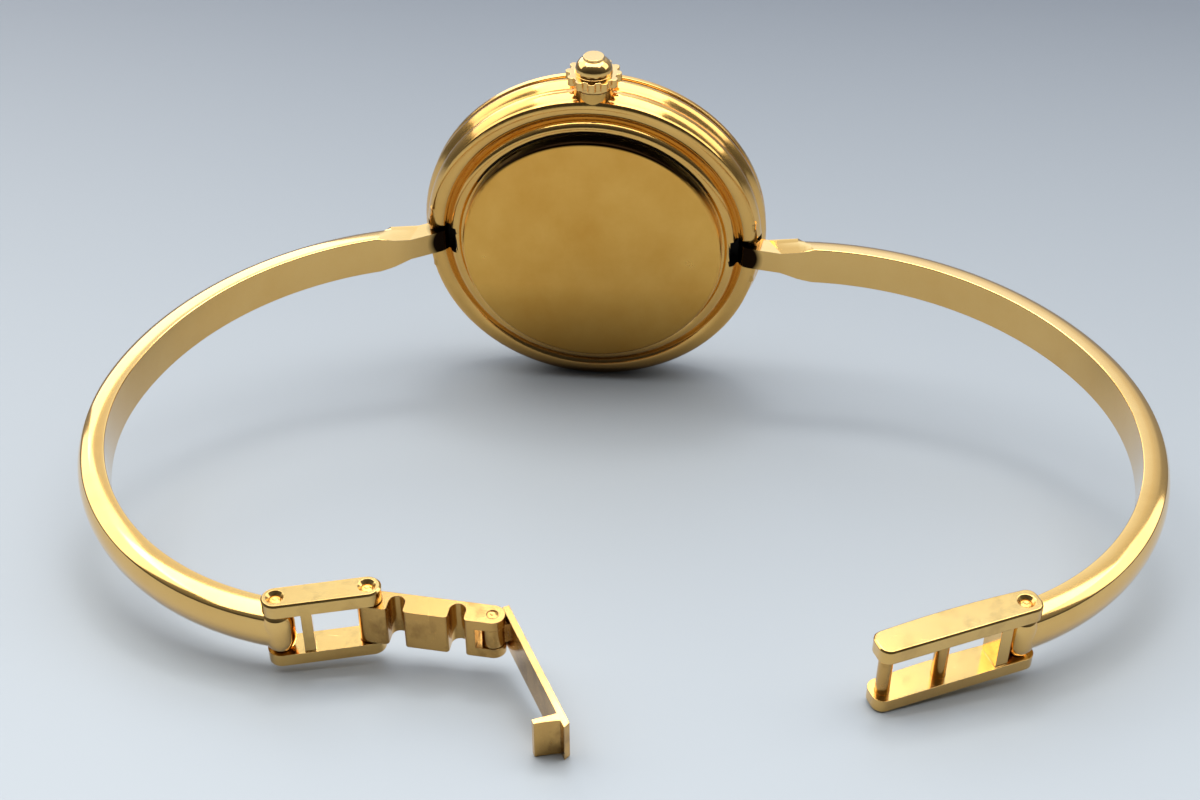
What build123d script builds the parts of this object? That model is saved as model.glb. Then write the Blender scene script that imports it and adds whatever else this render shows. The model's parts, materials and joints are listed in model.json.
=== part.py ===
from build123d import *
import os
from math import atan2, cos, degrees, hypot, radians, sin, sqrt

os.makedirs("parts", exist_ok=True)

# Bangle watch with a round case, two rigid bangle arms and a folding clasp.
# Millimetres.  Each piece is drawn in the frame of the body that carries it:
# in the case frame x runs across the wrist, y along the case axis towards
# the dial and z along the crown.  The frames stand the watch on the table,
# open, with the joints turned as far as the values below say.

# Driving sizes of the case
case_wall = 3.4
rim_step = 0.6
wall_shoulder = 2.2
mid_case_height = 2.9
bezel_step = 0.05
bezel_side = 0.45
bezel_land = 0.55
case_back_lip = 0.15
case_back_seat = 0.3
case_back_sheet = 0.45
crystal_inset = 2.9
crystal_ledge = 0.8
crystal_edge = 0.95
crystal_dome = 0.3

# Driving sizes of the movement
ring_wall = 1.0
dial_drop = 0.4
dial_sheet = 0.25
motion_space = 0.65
plate_sheet = 1.0
train_space = 0.9
bridge_sheet = 0.3
battery_radius = 2.9
battery_height = 1.6
train_module = 0.08
motion_module = 0.1

# Driving sizes of the crown and its stem
stem_radius = 0.4
crown_pull = 0.7

# Driving sizes of the bangle, drawn closed
bangle_half_width = 26.2
arm_width = 3.0
arm_thickness = 1.95
upper_arc_radius = 21.7
lower_arc_radius = 17.3
widest_level = 22.3
clasp_half_span = 8.1
hinge_inset = 1.1
hinge_y = 0.2
tab_width = 1.75
tab_radius = 0.95

# Driving sizes of the clasp
side_plate = 1.0
pin_radius = 0.35
link_length = 5.4
link_height = 1.7
notch_offset = 1.75
bar_pitch = 3.7
latch_offset = 2.1
frame_tail = 5.3
frame_height = 1.85
frame_bar_radius = 0.44
notch_radius = 0.5
notched_bar_height = 1.5
latch_length = 9.5
latch_sheet = 0.42
latch_width = 2.84

# Clearances
running_fit = 0.04
seat_gap = 0.02
side_play = 0.1
overrun = 1.0

# How far each joint stands turned on the table, in degrees
left_arm_angle = 9.64
right_arm_angle = 29.9
link_turn = 24.84
notched_bar_turn = -20.0
latch_turn = -57.7
right_frame_turn = -4.3
hour_hand_angle = -54.0
minute_hand_angle = 72.0


def turned(x, y, angle):
    """Turn a flat point about the origin."""
    c = cos(radians(angle))
    s = sin(radians(angle))
    return (x * c - y * s, x * s + y * c)


def chain_point(steps):
    """Follow (x, y, turn) steps, each in the frame of the last, to a flat point."""
    x = 0.0
    y = 0.0
    angle = 0.0
    for dx, dy, turn in steps:
        mx, my = turned(dx, dy, angle)
        x = x + mx
        y = y + my
        angle = angle + turn
    return (x, y)


def frame_at(parent, x, y, angle):
    """Give a frame at a flat point of its parent, turned about z."""
    c = cos(radians(angle))
    s = sin(radians(angle))
    return Plane(
        origin=parent.from_local_coords((x, y, 0)),
        x_dir=parent.x_dir * c + parent.y_dir * s,
        z_dir=parent.z_dir,
    )


def facing(frame, x, y, z):
    """Give a plane across the frame's y, with the frame's x and z in it."""
    return Plane(
        origin=frame.from_local_coords((x, y, z)),
        x_dir=frame.x_dir,
        z_dir=-frame.y_dir,
    )


def axis_y(frame, x=0, z=0):
    """Give the axis along the frame's y through a point."""
    return Axis(frame.from_local_coords((x, 0, z)), frame.y_dir)


def axis_z(frame, x=0, y=0, sign=1):
    """Give the axis along the frame's z through a point."""
    return Axis(frame.from_local_coords((x, y, 0)), frame.z_dir * sign)


# The movement's plate is as wide as its battery and centre wheel side by side,
# and the case is built outwards from it.
tooth_height_share = 0.7
tooth_root_share = 0.95
tooth_base_share = 0.62
tooth_tip_share = 0.32
centre_teeth = 60
battery_inset = 0.25
battery_gap = 0.094


def wheel_reach(teeth):
    """Give the radius over the teeth of a wheel of the train."""
    return teeth * train_module / 2 + tooth_height_share * train_module


battery_distance = wheel_reach(centre_teeth) + battery_gap + battery_radius
movement_radius = battery_distance + battery_radius + battery_inset
cavity_radius = movement_radius + ring_wall
case_radius = cavity_radius + case_wall

# Radii of the case that follow the driving sizes
gasket_wall = 0.2
rim_radius = case_radius - rim_step
crystal_radius = case_radius - crystal_inset
hinge_x = case_radius - hinge_inset
crown_base = case_radius + side_play
bezel_radius = case_radius - bezel_step
crystal_bore = crystal_radius + gasket_wall
bezel_top_radius = crystal_bore + bezel_land
dial_opening_radius = crystal_radius - crystal_ledge
case_back_radius = cavity_radius + case_back_lip

# Levels along the case axis, from the back of the mid-case towards the dial
hand_sheet = 0.12
hand_gap = 0.15
marker_height = 0.14
marker_gap = 0.06
pipe_proud = 0.08
crystal_gap = 0.25
bezel_rise = 0.05
battery_seat = 0.15
clamp_sheet = 0.09
back_gap = 0.06
dial_back = mid_case_height - dial_drop
dial_front = dial_back + dial_sheet
plate_front = dial_back - motion_space
plate_back = plate_front - plate_sheet
crown_depth = (plate_back + plate_front) / 2
bridge_front = plate_back - train_space
hour_hand_back = dial_front + marker_height + marker_gap
hour_pipe_front = hour_hand_back + hand_sheet + pipe_proud
minute_hand_back = hour_pipe_front + hand_gap
cannon_front = minute_hand_back + hand_sheet + pipe_proud
crystal_back = cannon_front + crystal_gap
bezel_top = crystal_back + crystal_edge + bezel_rise
battery_front = plate_back + battery_seat
battery_back = battery_front - battery_height
case_back_rise = case_back_sheet + back_gap + clamp_sheet - battery_back

# The middle line of each arm is two tangent arcs.  The clasp's centre line
# runs through the pins at the arm ends.
arm_half = arm_thickness / 2
upper_centre_x = bangle_half_width - upper_arc_radius
lower_centre_x = bangle_half_width - lower_arc_radius
lower_middle = lower_arc_radius + arm_half
arm_end_drop = sqrt(lower_middle**2 - (lower_centre_x - clasp_half_span) ** 2)
clasp_level = widest_level + arm_end_drop
end_x = hinge_x - clasp_half_span
end_y = -(clasp_level + hinge_y)
bar_length = notch_offset + bar_pitch + latch_offset
frame_length = frame_tail + bar_pitch
clasp_gap = arm_width + 2 * side_play
half_clasp = clasp_gap / 2 + side_plate

# The open watch stands on three points: the widest ring of the mid-case,
# the free corner of the latch plate and the free end of the right frame.
latch_foot_y = notched_bar_height / 2 + seat_gap
latch_foot = chain_point(
    [
        (-hinge_x, hinge_y, -left_arm_angle),
        (end_x, end_y, link_turn),
        (link_length, 0, notched_bar_turn),
        (bar_length, 0, latch_turn),
        (latch_length, latch_foot_y, 0),
    ]
)
frame_foot = chain_point(
    [
        (hinge_x, hinge_y, right_arm_angle),
        (-end_x, end_y, 180 + right_frame_turn),
        (frame_length, frame_height / 2, 0),
    ]
)
foot_one = Vector(latch_foot[0], latch_foot[1], -latch_width / 2)
foot_two = Vector(frame_foot[0], frame_foot[1], -half_clasp)
foot_three = Vector(0, wall_shoulder, -case_radius)
up = Vector(0, 0, 1)
for settle in range(8):
    up = (foot_two - foot_one).cross(foot_three - foot_one).normalized()
    lean = hypot(up.X, up.Z)
    foot_three = Vector(
        -case_radius * up.X / lean, wall_shoulder, -case_radius * up.Z / lean
    )
across = (Vector(1, 0, 0) - up * up.X).normalized()
ahead = up.cross(across)
case = Plane(
    origin=(0, 0, 0),
    x_dir=(across.X, ahead.X, up.X),
    z_dir=(across.Z, ahead.Z, up.Z),
)
left_arm_frame = frame_at(case, -hinge_x, hinge_y, -left_arm_angle)
link_frame = frame_at(left_arm_frame, end_x, end_y, link_turn)
notched_bar_frame = frame_at(link_frame, link_length, 0, notched_bar_turn)
latch_frame = frame_at(notched_bar_frame, bar_length, 0, latch_turn)
right_arm_frame = frame_at(case, hinge_x, hinge_y, right_arm_angle)
right_frame_frame = frame_at(right_arm_frame, -end_x, end_y, 180 + right_frame_turn)

# Mid-case: a ring with a flared wall.  Its back carries a rounded rim, a
# groove and a second rounded ring round the case back.  A slot at each side
# takes the end of an arm, and a bore takes the crown tube.
groove_inset = 1.4
groove_half = 0.12
groove_floor = 0.3
land_gap = 0.2
ring_crown = 0.2
seam_depth = 0.16
seam_width = 0.14
step_wall = 1.0
step_height = 0.2
slot_play = 0.6
slot_side_play = 0.225
slot_half_height = tab_width / 2 + slot_side_play
slot_front = 1.3
hinge_pin_half = 2.6
tube_radius = 0.8
tube_collar_radius = 1.45
collar_inset = 0.8
groove_radius = rim_radius - groove_inset
land_radius = case_back_radius + land_gap
step_radius = cavity_radius + step_wall
slot_floor = hinge_x - tab_radius - slot_play
tube_collar_floor = case_radius - collar_inset
inner_ring_middle = (groove_radius - groove_half + land_radius) / 2
outer_rim_middle = (groove_radius + groove_half + rim_radius) / 2

with BuildPart() as mid_case:
    with BuildSketch(case):
        with BuildLine():
            wall = Polyline(
                (cavity_radius, -case_back_seat),
                (cavity_radius, mid_case_height - step_height),
                (step_radius, mid_case_height - step_height),
                (step_radius, mid_case_height),
                (case_radius, mid_case_height),
                (case_radius, wall_shoulder),
                (rim_radius + seam_width / 2, seam_depth + seam_width),
                (rim_radius - seam_depth, seam_width),
                (rim_radius, 0),
            )
            outer_rim = ThreePointArc(
                wall @ 1,
                (outer_rim_middle, -ring_crown),
                (groove_radius + groove_half, seam_width),
            )
            groove = Line(outer_rim @ 1, (groove_radius, groove_floor))
            groove_side = Line(groove @ 1, (groove_radius - groove_half, seam_width))
            inner_ring = ThreePointArc(
                groove_side @ 1,
                (inner_ring_middle, -case_back_seat - ring_crown / 2),
                (land_radius, -case_back_seat),
            )
            Line(inner_ring @ 1, wall @ 0)
        make_face()
    revolve(axis=axis_y(case))
    for side in (-1, 1):
        with BuildSketch(facing(case, 0, slot_front, 0)):
            with Locations((side * (slot_floor + case_radius) / 2, 0)):
                Rectangle(case_radius - slot_floor, 2 * slot_half_height)
        extrude(amount=slot_front + overrun, mode=Mode.SUBTRACT)
        with BuildSketch(case.offset(-hinge_pin_half)):
            with Locations((side * hinge_x, hinge_y)):
                Circle(pin_radius)
        extrude(amount=2 * hinge_pin_half, mode=Mode.SUBTRACT)
    with BuildSketch(case.offset(0)):
        with Locations((0, crown_depth)):
            Circle(tube_radius)
    extrude(amount=case_radius + overrun, mode=Mode.SUBTRACT)
    with BuildSketch(case.offset(tube_collar_floor)):
        with Locations((0, crown_depth)):
            Circle(tube_collar_radius)
    extrude(amount=case_radius - tube_collar_floor + overrun, mode=Mode.SUBTRACT)
mid_case.part.label = "mid_case"

# Bezel: pressed on the mid-case, it covers the edge of the dial and holds
# the crystal in a soft gasket.
bezel_seat = mid_case_height + seat_gap
lip_foot = dial_front + seat_gap
with BuildPart() as bezel:
    with BuildSketch(case):
        with BuildLine():
            Polyline(
                (dial_opening_radius, lip_foot),
                (step_radius - seat_gap, lip_foot),
                (step_radius - seat_gap, bezel_seat),
                (bezel_radius, bezel_seat),
                (bezel_radius, bezel_seat + bezel_side),
                (bezel_top_radius, bezel_top),
                (crystal_bore, bezel_top - gasket_wall),
                (crystal_bore, crystal_back),
                (dial_opening_radius + gasket_wall, crystal_back),
                close=True,
            )
        make_face()
    revolve(axis=axis_y(case))
bezel.part.label = "bezel"

# Case back: a raised flat disc with a rounded edge and a skirt that snaps
# into the mid-case over its gasket.
skirt_wall = 0.45
skirt_front = 0.5
gasket_land = 0.25
gasket_front = 0.05
back_edge_round = 0.3
with BuildPart() as case_back:
    with BuildSketch(case):
        with BuildLine():
            Polyline(
                (0, -case_back_rise),
                (case_back_radius, -case_back_rise),
                (case_back_radius, -case_back_seat - seat_gap),
                (cavity_radius - gasket_land, -case_back_seat - seat_gap),
                (cavity_radius - gasket_land, gasket_front),
                (cavity_radius - seat_gap, gasket_front),
                (cavity_radius - seat_gap, skirt_front),
                (cavity_radius - gasket_land - skirt_wall, skirt_front),
                (cavity_radius - gasket_land - skirt_wall, case_back_sheet - case_back_rise),
                (0, case_back_sheet - case_back_rise),
                close=True,
            )
        make_face()
    revolve(axis=axis_y(case))
    fillet(
        case_back.edges()
        .filter_by(GeomType.CIRCLE)
        .filter_by(lambda edge: abs(edge.radius - case_back_radius) < seat_gap)
        .sort_by(axis_y(case))[0],
        radius=back_edge_round,
    )
case_back.part.label = "case_back"

with BuildPart() as case_back_gasket:
    with BuildSketch(case):
        with Locations((cavity_radius - gasket_land / 2, -gasket_land / 2 + seat_gap)):
            Circle(gasket_land / 2 - seat_gap / 2)
    revolve(axis=axis_y(case))
case_back_gasket.part.label = "case_back_gasket"

# Crystal, slightly domed, in its gasket ring
dome_curve = (crystal_radius**2 + crystal_dome**2) / (2 * crystal_dome)
dome_centre = crystal_back + crystal_edge + crystal_dome - dome_curve
dome_middle = dome_centre + sqrt(dome_curve**2 - (crystal_radius / 2) ** 2)
with BuildPart() as crystal:
    with BuildSketch(case):
        with BuildLine():
            foot = Polyline(
                (0, crystal_back),
                (crystal_radius, crystal_back),
                (crystal_radius, crystal_back + crystal_edge),
            )
            top = ThreePointArc(
                foot @ 1,
                (crystal_radius / 2, dome_middle),
                (0, crystal_back + crystal_edge + crystal_dome),
            )
            Line(top @ 1, foot @ 0)
        make_face()
    revolve(axis=axis_y(case))
crystal.part.label = "crystal"

with BuildPart() as crystal_gasket:
    with BuildSketch(case):
        with BuildLine():
            Polyline(
                (crystal_radius, crystal_back),
                (crystal_bore, crystal_back),
                (crystal_bore, crystal_back + crystal_edge - gasket_wall),
                (crystal_radius, crystal_back + crystal_edge - gasket_wall),
                close=True,
            )
        make_face()
    revolve(axis=axis_y(case))
crystal_gasket.part.label = "crystal_gasket"

# Dial with plain hour markers, and two feet that pin it to the main plate
dial_radius = cavity_radius - side_play
dial_bore = 0.9
marker_length = 1.5
marker_width = 0.32
marker_inset = 1.2
foot_radius = 0.3
foot_inset = 1.3
foot_depth = 0.75
foot_angles = (20, 200)
marker_middle = dial_opening_radius - marker_inset
foot_circle = movement_radius - foot_inset
with BuildPart() as dial:
    with BuildSketch(facing(case, 0, dial_back, 0)):
        Circle(dial_radius)
        Circle(dial_bore, mode=Mode.SUBTRACT)
    extrude(amount=-dial_sheet)
dial.part.label = "dial"

with BuildPart() as hour_markers:
    with BuildSketch(facing(case, 0, dial_front, 0)):
        with PolarLocations(marker_middle, 12):
            Rectangle(marker_length, marker_width)
    extrude(amount=-marker_height)
hour_markers.part.label = "hour_markers"

foot_places = [turned(foot_circle, 0, angle) for angle in foot_angles]
with BuildPart() as dial_feet:
    with BuildSketch(facing(case, 0, dial_back, 0)):
        with Locations(*foot_places):
            Circle(foot_radius)
    extrude(amount=dial_back - plate_front + foot_depth)
dial_feet.part.label = "dial_feet"

# Plastic ring that centres the movement in the mid-case, open at the stem
ring_back = skirt_front + seat_gap
ring_front = dial_back - seat_gap
with BuildPart() as movement_ring:
    with BuildSketch(facing(case, 0, ring_back, 0)):
        Circle(cavity_radius - seat_gap)
        Circle(movement_radius + seat_gap, mode=Mode.SUBTRACT)
    extrude(amount=-(ring_front - ring_back))
    with BuildSketch(case.offset(0)):
        with Locations((0, crown_depth)):
            Circle(tube_radius + side_play)
    extrude(amount=case_radius, mode=Mode.SUBTRACT)
movement_ring.part.label = "movement_ring"

# Places of the movement's axes, as x and z in the case frame
third_pinion_teeth = 8
third_teeth = 56
second_pinion_teeth = 7
second_teeth = 50
rotor_pinion_teeth = 6
cannon_teeth = 10
minute_teeth = 30
minute_pinion_teeth = 8
hour_teeth = 32
setting_teeth = 20
third_bearing = -60
second_bearing = 0
rotor_bearing = 75
minute_bearing = 90
setting_bearing = 60
battery_bearing = 160


def gear_step(teeth_one, teeth_two, module, bearing):
    """Give the step between the centres of two wheels that mesh."""
    return turned((teeth_one + teeth_two) * module / 2, 0, bearing)


def add_step(place, step):
    """Add a step to a flat place."""
    return (place[0] + step[0], place[1] + step[1])


centre_place = (0, 0)
third_place = add_step(
    centre_place,
    gear_step(centre_teeth, third_pinion_teeth, train_module, third_bearing),
)
second_place = add_step(
    third_place,
    gear_step(third_teeth, second_pinion_teeth, train_module, second_bearing),
)
rotor_place = add_step(
    second_place,
    gear_step(second_teeth, rotor_pinion_teeth, train_module, rotor_bearing),
)
minute_place = gear_step(cannon_teeth, minute_teeth, motion_module, minute_bearing)
setting_place = add_step(
    minute_place,
    gear_step(minute_teeth, setting_teeth, motion_module, setting_bearing),
)
battery_place = turned(battery_distance, 0, battery_bearing)


post_radius = 0.5
post_gap = 0.48


def post_beside(place, teeth, bearing):
    """Give the place of a bridge post beside a wheel of the train."""
    return add_step(place, turned(wheel_reach(teeth) + post_gap + post_radius, 0, bearing))


def spread(shares):
    """Give flat places from shares of the movement's radius."""
    return [(x * movement_radius, y * movement_radius) for x, y in shares]


board_corner_shares = [
    (-0.884, -0.302),
    (-0.477, -0.302),
    (-0.081, -0.698),
    (-0.081, -0.93),
    (-0.535, -0.791),
]
lever_shares = [(-0.256, 0.785), (0, 0.744)]
bridge_posts = [
    post_beside(centre_place, centre_teeth, 206),
    post_beside(second_place, second_teeth, -41.5),
    post_beside(third_place, third_teeth, -89),
]
board_corners = spread(board_corner_shares)
lever_pivot, lever_pin = spread(lever_shares)

# Sizes inside the movement
arbor_radius = 0.12
centre_arbor_radius = 0.25
post_margin = 0.3
screw_radius = 0.25
screw_head_radius = 0.45
screw_head = 0.22
screw_hold = 0.5
pivot_depth = 0.2
centre_drop = 0.08
wheel_step = 0.26
wheel_sheet = 0.15
pinion_margin = 0.05
centre_level = plate_back - centre_drop - wheel_sheet
third_level = centre_level - wheel_step
second_level = third_level - wheel_step
stator_gap = 0.05
stator_sheet = 0.25
stator_half_width = 2.0
stator_drop = 1.4
stator_bow_height = 2.7
stator_rise = 3.8
stator_leg = 0.7
stator_back = plate_back - stator_gap - stator_sheet
stator_left = rotor_place[0] - stator_half_width
stator_right = rotor_place[0] + stator_half_width
stator_foot = rotor_place[1] - stator_drop
stator_bow = stator_foot + stator_bow_height
stator_top = rotor_place[1] + stator_rise
core_height = 0.88
winding_radius = 0.62
rotor_radius = 0.8
rotor_hole = 1.0
rotor_drop = 0.1
rotor_height = 0.35
board_gap = 0.45
board_sheet = 0.2
board_margin = 0.3
battery_play = 0.05
rotor_back = stator_back - rotor_drop
board_back = plate_back - board_gap - board_sheet
motion_back = plate_front + side_play / 2
motion_sheet = 0.18
motion_step = 0.3
cannon_pipe_radius = 0.42
hour_pipe_wall = 0.2
motion_post_radius = 0.2
stem_overlap = 0.565
stem_pinion_teeth = 10
stem_pinion_module = 0.09
stem_pinion_length = 0.6
stem_pocket_half = 0.68
groove_half_length = 0.2
stem_groove_radius = 0.22
lever_pin_radius = 0.15
lever_sheet = 0.3
lever_pivot_radius = 0.25
stem_tip = setting_place[1] - stem_overlap


def mesh_turn(turn, teeth_one, teeth_two, bearing):
    """Give the turn of wheel two that fits its teeth between those of wheel one."""
    share = (bearing - turn) * teeth_one / 360
    return bearing + 180 + (share + 0.5) * 360 / teeth_two


def toothed_disc(teeth, module, turn):
    """Draw a toothed disc in the sketch that calls it."""
    root = teeth * module / 2 - tooth_root_share * module
    tip = teeth * module / 2 + tooth_height_share * module
    base_half = tooth_base_share * module
    tip_half = tooth_tip_share * module
    Circle(root)
    with PolarLocations(0, teeth, start_angle=turn):
        Polygon(
            (root - base_half, -base_half),
            (tip, -tip_half),
            (tip, tip_half),
            (root - base_half, base_half),
            align=None,
        )


centre_turn = 0
third_pinion_turn = mesh_turn(
    centre_turn, centre_teeth, third_pinion_teeth, third_bearing
)
third_turn = 0
second_pinion_turn = mesh_turn(
    third_turn, third_teeth, second_pinion_teeth, second_bearing
)
second_turn = 0
rotor_pinion_turn = mesh_turn(
    second_turn, second_teeth, rotor_pinion_teeth, rotor_bearing
)
cannon_turn = 0
minute_turn = mesh_turn(cannon_turn, cannon_teeth, minute_teeth, minute_bearing)
minute_pinion_turn = 0
hour_turn = mesh_turn(
    minute_pinion_turn, minute_pinion_teeth, hour_teeth, minute_bearing + 180
)
setting_turn = mesh_turn(minute_turn, minute_teeth, setting_teeth, setting_bearing)

# Main plate with its wells, bores and the two posts of the motion work
coil_axis = stator_back + stator_sheet / 2
coil_level = stator_top + seat_gap + core_height / 2
winding_left = stator_left + stator_leg + side_play
winding_right = stator_right - stator_leg - side_play
winding_middle = (winding_left + winding_right) / 2
pocket_back = stem_tip - side_play
pocket_front = stem_tip + stem_pinion_length + crown_pull + side_play
post_front = motion_back + motion_sheet + motion_step
with BuildPart() as main_plate:
    with BuildSketch(facing(case, 0, plate_back, 0)):
        Circle(movement_radius)
    extrude(amount=-plate_sheet)
    with BuildSketch(facing(case, 0, board_back + board_sheet, 0)):
        with BuildLine():
            Polyline(*board_corners, close=True)
        make_face()
        offset(amount=-board_margin)
    extrude(amount=-(plate_back - board_back - board_sheet))
    with BuildSketch(facing(case, 0, plate_front, 0)):
        with Locations(minute_place, setting_place):
            Circle(motion_post_radius)
    extrude(amount=-(post_front - plate_front))
    with BuildSketch(facing(case, 0, battery_front + seat_gap, 0)):
        with Locations(battery_place):
            Circle(battery_radius + battery_play)
    extrude(amount=battery_seat + overrun, mode=Mode.SUBTRACT)
    with BuildSketch(facing(case, 0, coil_axis + winding_radius + side_play, 0)):
        with Locations((winding_middle, coil_level)):
            Rectangle(
                winding_right - winding_left + 2 * side_play,
                2 * (winding_radius + side_play),
            )
    extrude(amount=winding_radius + side_play, mode=Mode.SUBTRACT)
    with BuildSketch(facing(case, 0, plate_front + overrun, 0)):
        with Locations((0, (pocket_back + pocket_front) / 2)):
            Rectangle(2 * stem_pocket_half, pocket_front - pocket_back)
        with Locations(centre_place):
            Circle(centre_arbor_radius + running_fit)
    extrude(amount=plate_sheet + 2 * overrun, mode=Mode.SUBTRACT)
    with BuildSketch(case.offset(pocket_front - side_play)):
        with Locations((0, crown_depth)):
            Circle(stem_radius + running_fit)
    extrude(amount=movement_radius, mode=Mode.SUBTRACT)
    with BuildSketch(facing(case, 0, crown_depth, 0)):
        with Locations((0, lever_pin[1] + crown_pull / 2)):
            Rectangle(
                2 * (lever_pin_radius + side_play),
                crown_pull + 2 * (lever_pin_radius + side_play),
            )
    extrude(amount=crown_depth - plate_back, mode=Mode.SUBTRACT)
    with BuildSketch(facing(case, 0, plate_back + screw_hold, 0)):
        with Locations(lever_pivot):
            Circle(lever_pivot_radius + running_fit)
        with Locations(*bridge_posts):
            Circle(screw_radius)
    extrude(amount=screw_hold, mode=Mode.SUBTRACT)
    with BuildSketch(facing(case, 0, plate_back + pivot_depth, 0)):
        with Locations(third_place, second_place, rotor_place):
            Circle(arbor_radius + running_fit)
    extrude(amount=pivot_depth, mode=Mode.SUBTRACT)
    with BuildSketch(facing(case, 0, plate_front, 0)):
        with Locations(*foot_places):
            Circle(foot_radius)
    extrude(amount=foot_depth, mode=Mode.SUBTRACT)
main_plate.part.label = "main_plate"

# Train bridge on three posts, held by three screws
bridge_back = bridge_front - bridge_sheet
with BuildPart() as train_bridge:
    with BuildSketch(facing(case, 0, bridge_back, 0)):
        with Locations(*bridge_posts):
            Circle(post_radius + post_margin)
        with Locations(centre_place, rotor_place):
            Circle(post_radius)
        make_hull()
    extrude(amount=-bridge_sheet)
    with BuildSketch(facing(case, 0, bridge_front, 0)):
        with Locations(*bridge_posts):
            Circle(post_radius)
    extrude(amount=-(plate_back - bridge_front))
    with BuildSketch(facing(case, 0, plate_back + overrun, 0)):
        with Locations(*bridge_posts):
            Circle(screw_radius)
    extrude(amount=plate_back - bridge_back + 2 * overrun, mode=Mode.SUBTRACT)
    with BuildSketch(facing(case, 0, bridge_front, 0)):
        with Locations(third_place, second_place, rotor_place):
            Circle(arbor_radius + running_fit)
        with Locations(centre_place):
            Circle(centre_arbor_radius + running_fit)
    extrude(amount=pivot_depth, mode=Mode.SUBTRACT)
train_bridge.part.label = "train_bridge"

screw_foot = plate_back + screw_hold - seat_gap
with BuildPart() as bridge_screws:
    with BuildSketch(facing(case, 0, bridge_back, 0)):
        with Locations(*bridge_posts):
            Circle(screw_head_radius)
    extrude(amount=screw_head)
    with BuildSketch(facing(case, 0, bridge_back, 0)):
        with Locations(*bridge_posts):
            Circle(screw_radius)
    extrude(amount=-(screw_foot - bridge_back))
bridge_screws.part.label = "bridge_screws"

# Battery and the strip that holds it against the circuit board
with BuildPart() as battery:
    with BuildSketch(facing(case, 0, battery_back, 0)):
        with Locations(battery_place):
            Circle(battery_radius)
    extrude(amount=-battery_height)
    fillet(battery.edges().filter_by(GeomType.CIRCLE), radius=battery_play)
battery.part.label = "battery"

clamp_end_shares = [(-0.57, 0.14), (-0.512, -0.384)]
clamp_ends = spread(clamp_end_shares)
clamp_half_width = 0.5
clamp_leg_radius = 0.28
with BuildPart() as battery_clamp:
    with BuildSketch(facing(case, 0, battery_back, 0)):
        with Locations(*clamp_ends):
            Circle(clamp_half_width)
        make_hull()
    extrude(amount=clamp_sheet)
    with BuildSketch(facing(case, 0, battery_back, 0)):
        with Locations(clamp_ends[1]):
            Circle(clamp_leg_radius)
    extrude(amount=-(board_back - battery_back))
battery_clamp.part.label = "battery_clamp"

# Circuit board with its chip and the can of the quartz crystal
chip_side = 1.5
chip_height = 0.35
can_radius = 0.42
chip_and_can_shares = [(-0.419, -0.57), (-0.802, -0.419), (-0.581, -0.419)]
chip_place, can_start_place, can_end_place = spread(chip_and_can_shares)
with BuildPart() as circuit_board:
    with BuildSketch(facing(case, 0, board_back, 0)):
        with BuildLine():
            Polyline(*board_corners, close=True)
        make_face()
    extrude(amount=-board_sheet)
circuit_board.part.label = "circuit_board"

with BuildPart() as circuit_chip:
    with BuildSketch(facing(case, 0, board_back, 0)):
        with Locations(chip_place):
            Rectangle(chip_side, chip_side)
    extrude(amount=chip_height)
circuit_chip.part.label = "circuit_chip"

can_start = case.from_local_coords(
    (can_start_place[0], board_back - can_radius, can_start_place[1])
)
with BuildPart() as quartz_can:
    with BuildSketch(Plane(origin=can_start, x_dir=case.y_dir, z_dir=case.x_dir)):
        Circle(can_radius)
    extrude(amount=can_end_place[0] - can_start_place[0])
quartz_can.part.label = "quartz_can"

# Step motor: stator, coil core, winding and rotor
with BuildPart() as stator:
    with BuildSketch(facing(case, 0, stator_back, 0)):
        with Locations(((stator_left + stator_right) / 2, (stator_foot + stator_top) / 2)):
            Rectangle(stator_right - stator_left, stator_top - stator_foot)
        with Locations(((stator_left + stator_right) / 2, stator_bow + stator_top)):
            Rectangle(
                stator_right - stator_left - 2 * stator_leg,
                2 * stator_top,
                mode=Mode.SUBTRACT,
            )
        with Locations(rotor_place):
            Circle(rotor_hole, mode=Mode.SUBTRACT)
    extrude(amount=-stator_sheet)
stator.part.label = "stator"

core_neck = 0.24
with BuildPart() as coil_core:
    with BuildSketch(facing(case, 0, stator_back, 0)):
        with Locations(((stator_left + stator_right) / 2, coil_level)):
            Rectangle(stator_right - stator_left, 2 * core_neck)
        with Locations(
            (stator_left + stator_leg / 2, coil_level),
            (stator_right - stator_leg / 2, coil_level),
        ):
            Rectangle(stator_leg, core_height)
    extrude(amount=-stator_sheet)
coil_core.part.label = "coil_core"

winding_start = case.from_local_coords((winding_left, coil_axis, coil_level))
with BuildPart() as coil_winding:
    with BuildSketch(Plane(origin=winding_start, x_dir=case.y_dir, z_dir=case.x_dir)):
        Circle(winding_radius)
        Rectangle(
            stator_sheet + seat_gap, 2 * (core_neck + seat_gap), mode=Mode.SUBTRACT
        )
    extrude(amount=winding_right - winding_left)
coil_winding.part.label = "coil_winding"


def rotor_plane(depth):
    """Give the plane of a sketch on the rotor's axis."""
    return facing(case, rotor_place[0], depth, rotor_place[1])


arbor_back = bridge_front - pivot_depth + seat_gap
arbor_front = plate_back + pivot_depth - seat_gap
with BuildPart() as rotor:
    with BuildSketch(rotor_plane(arbor_back)):
        Circle(arbor_radius)
    extrude(amount=-(arbor_front - arbor_back))
    with BuildSketch(rotor_plane(rotor_back)):
        Circle(rotor_radius)
    extrude(amount=-rotor_height)
    with BuildSketch(rotor_plane(second_level - pinion_margin)):
        toothed_disc(rotor_pinion_teeth, train_module, rotor_pinion_turn)
    extrude(amount=-(wheel_sheet + 2 * pinion_margin))
rotor.part.label = "rotor"

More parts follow.
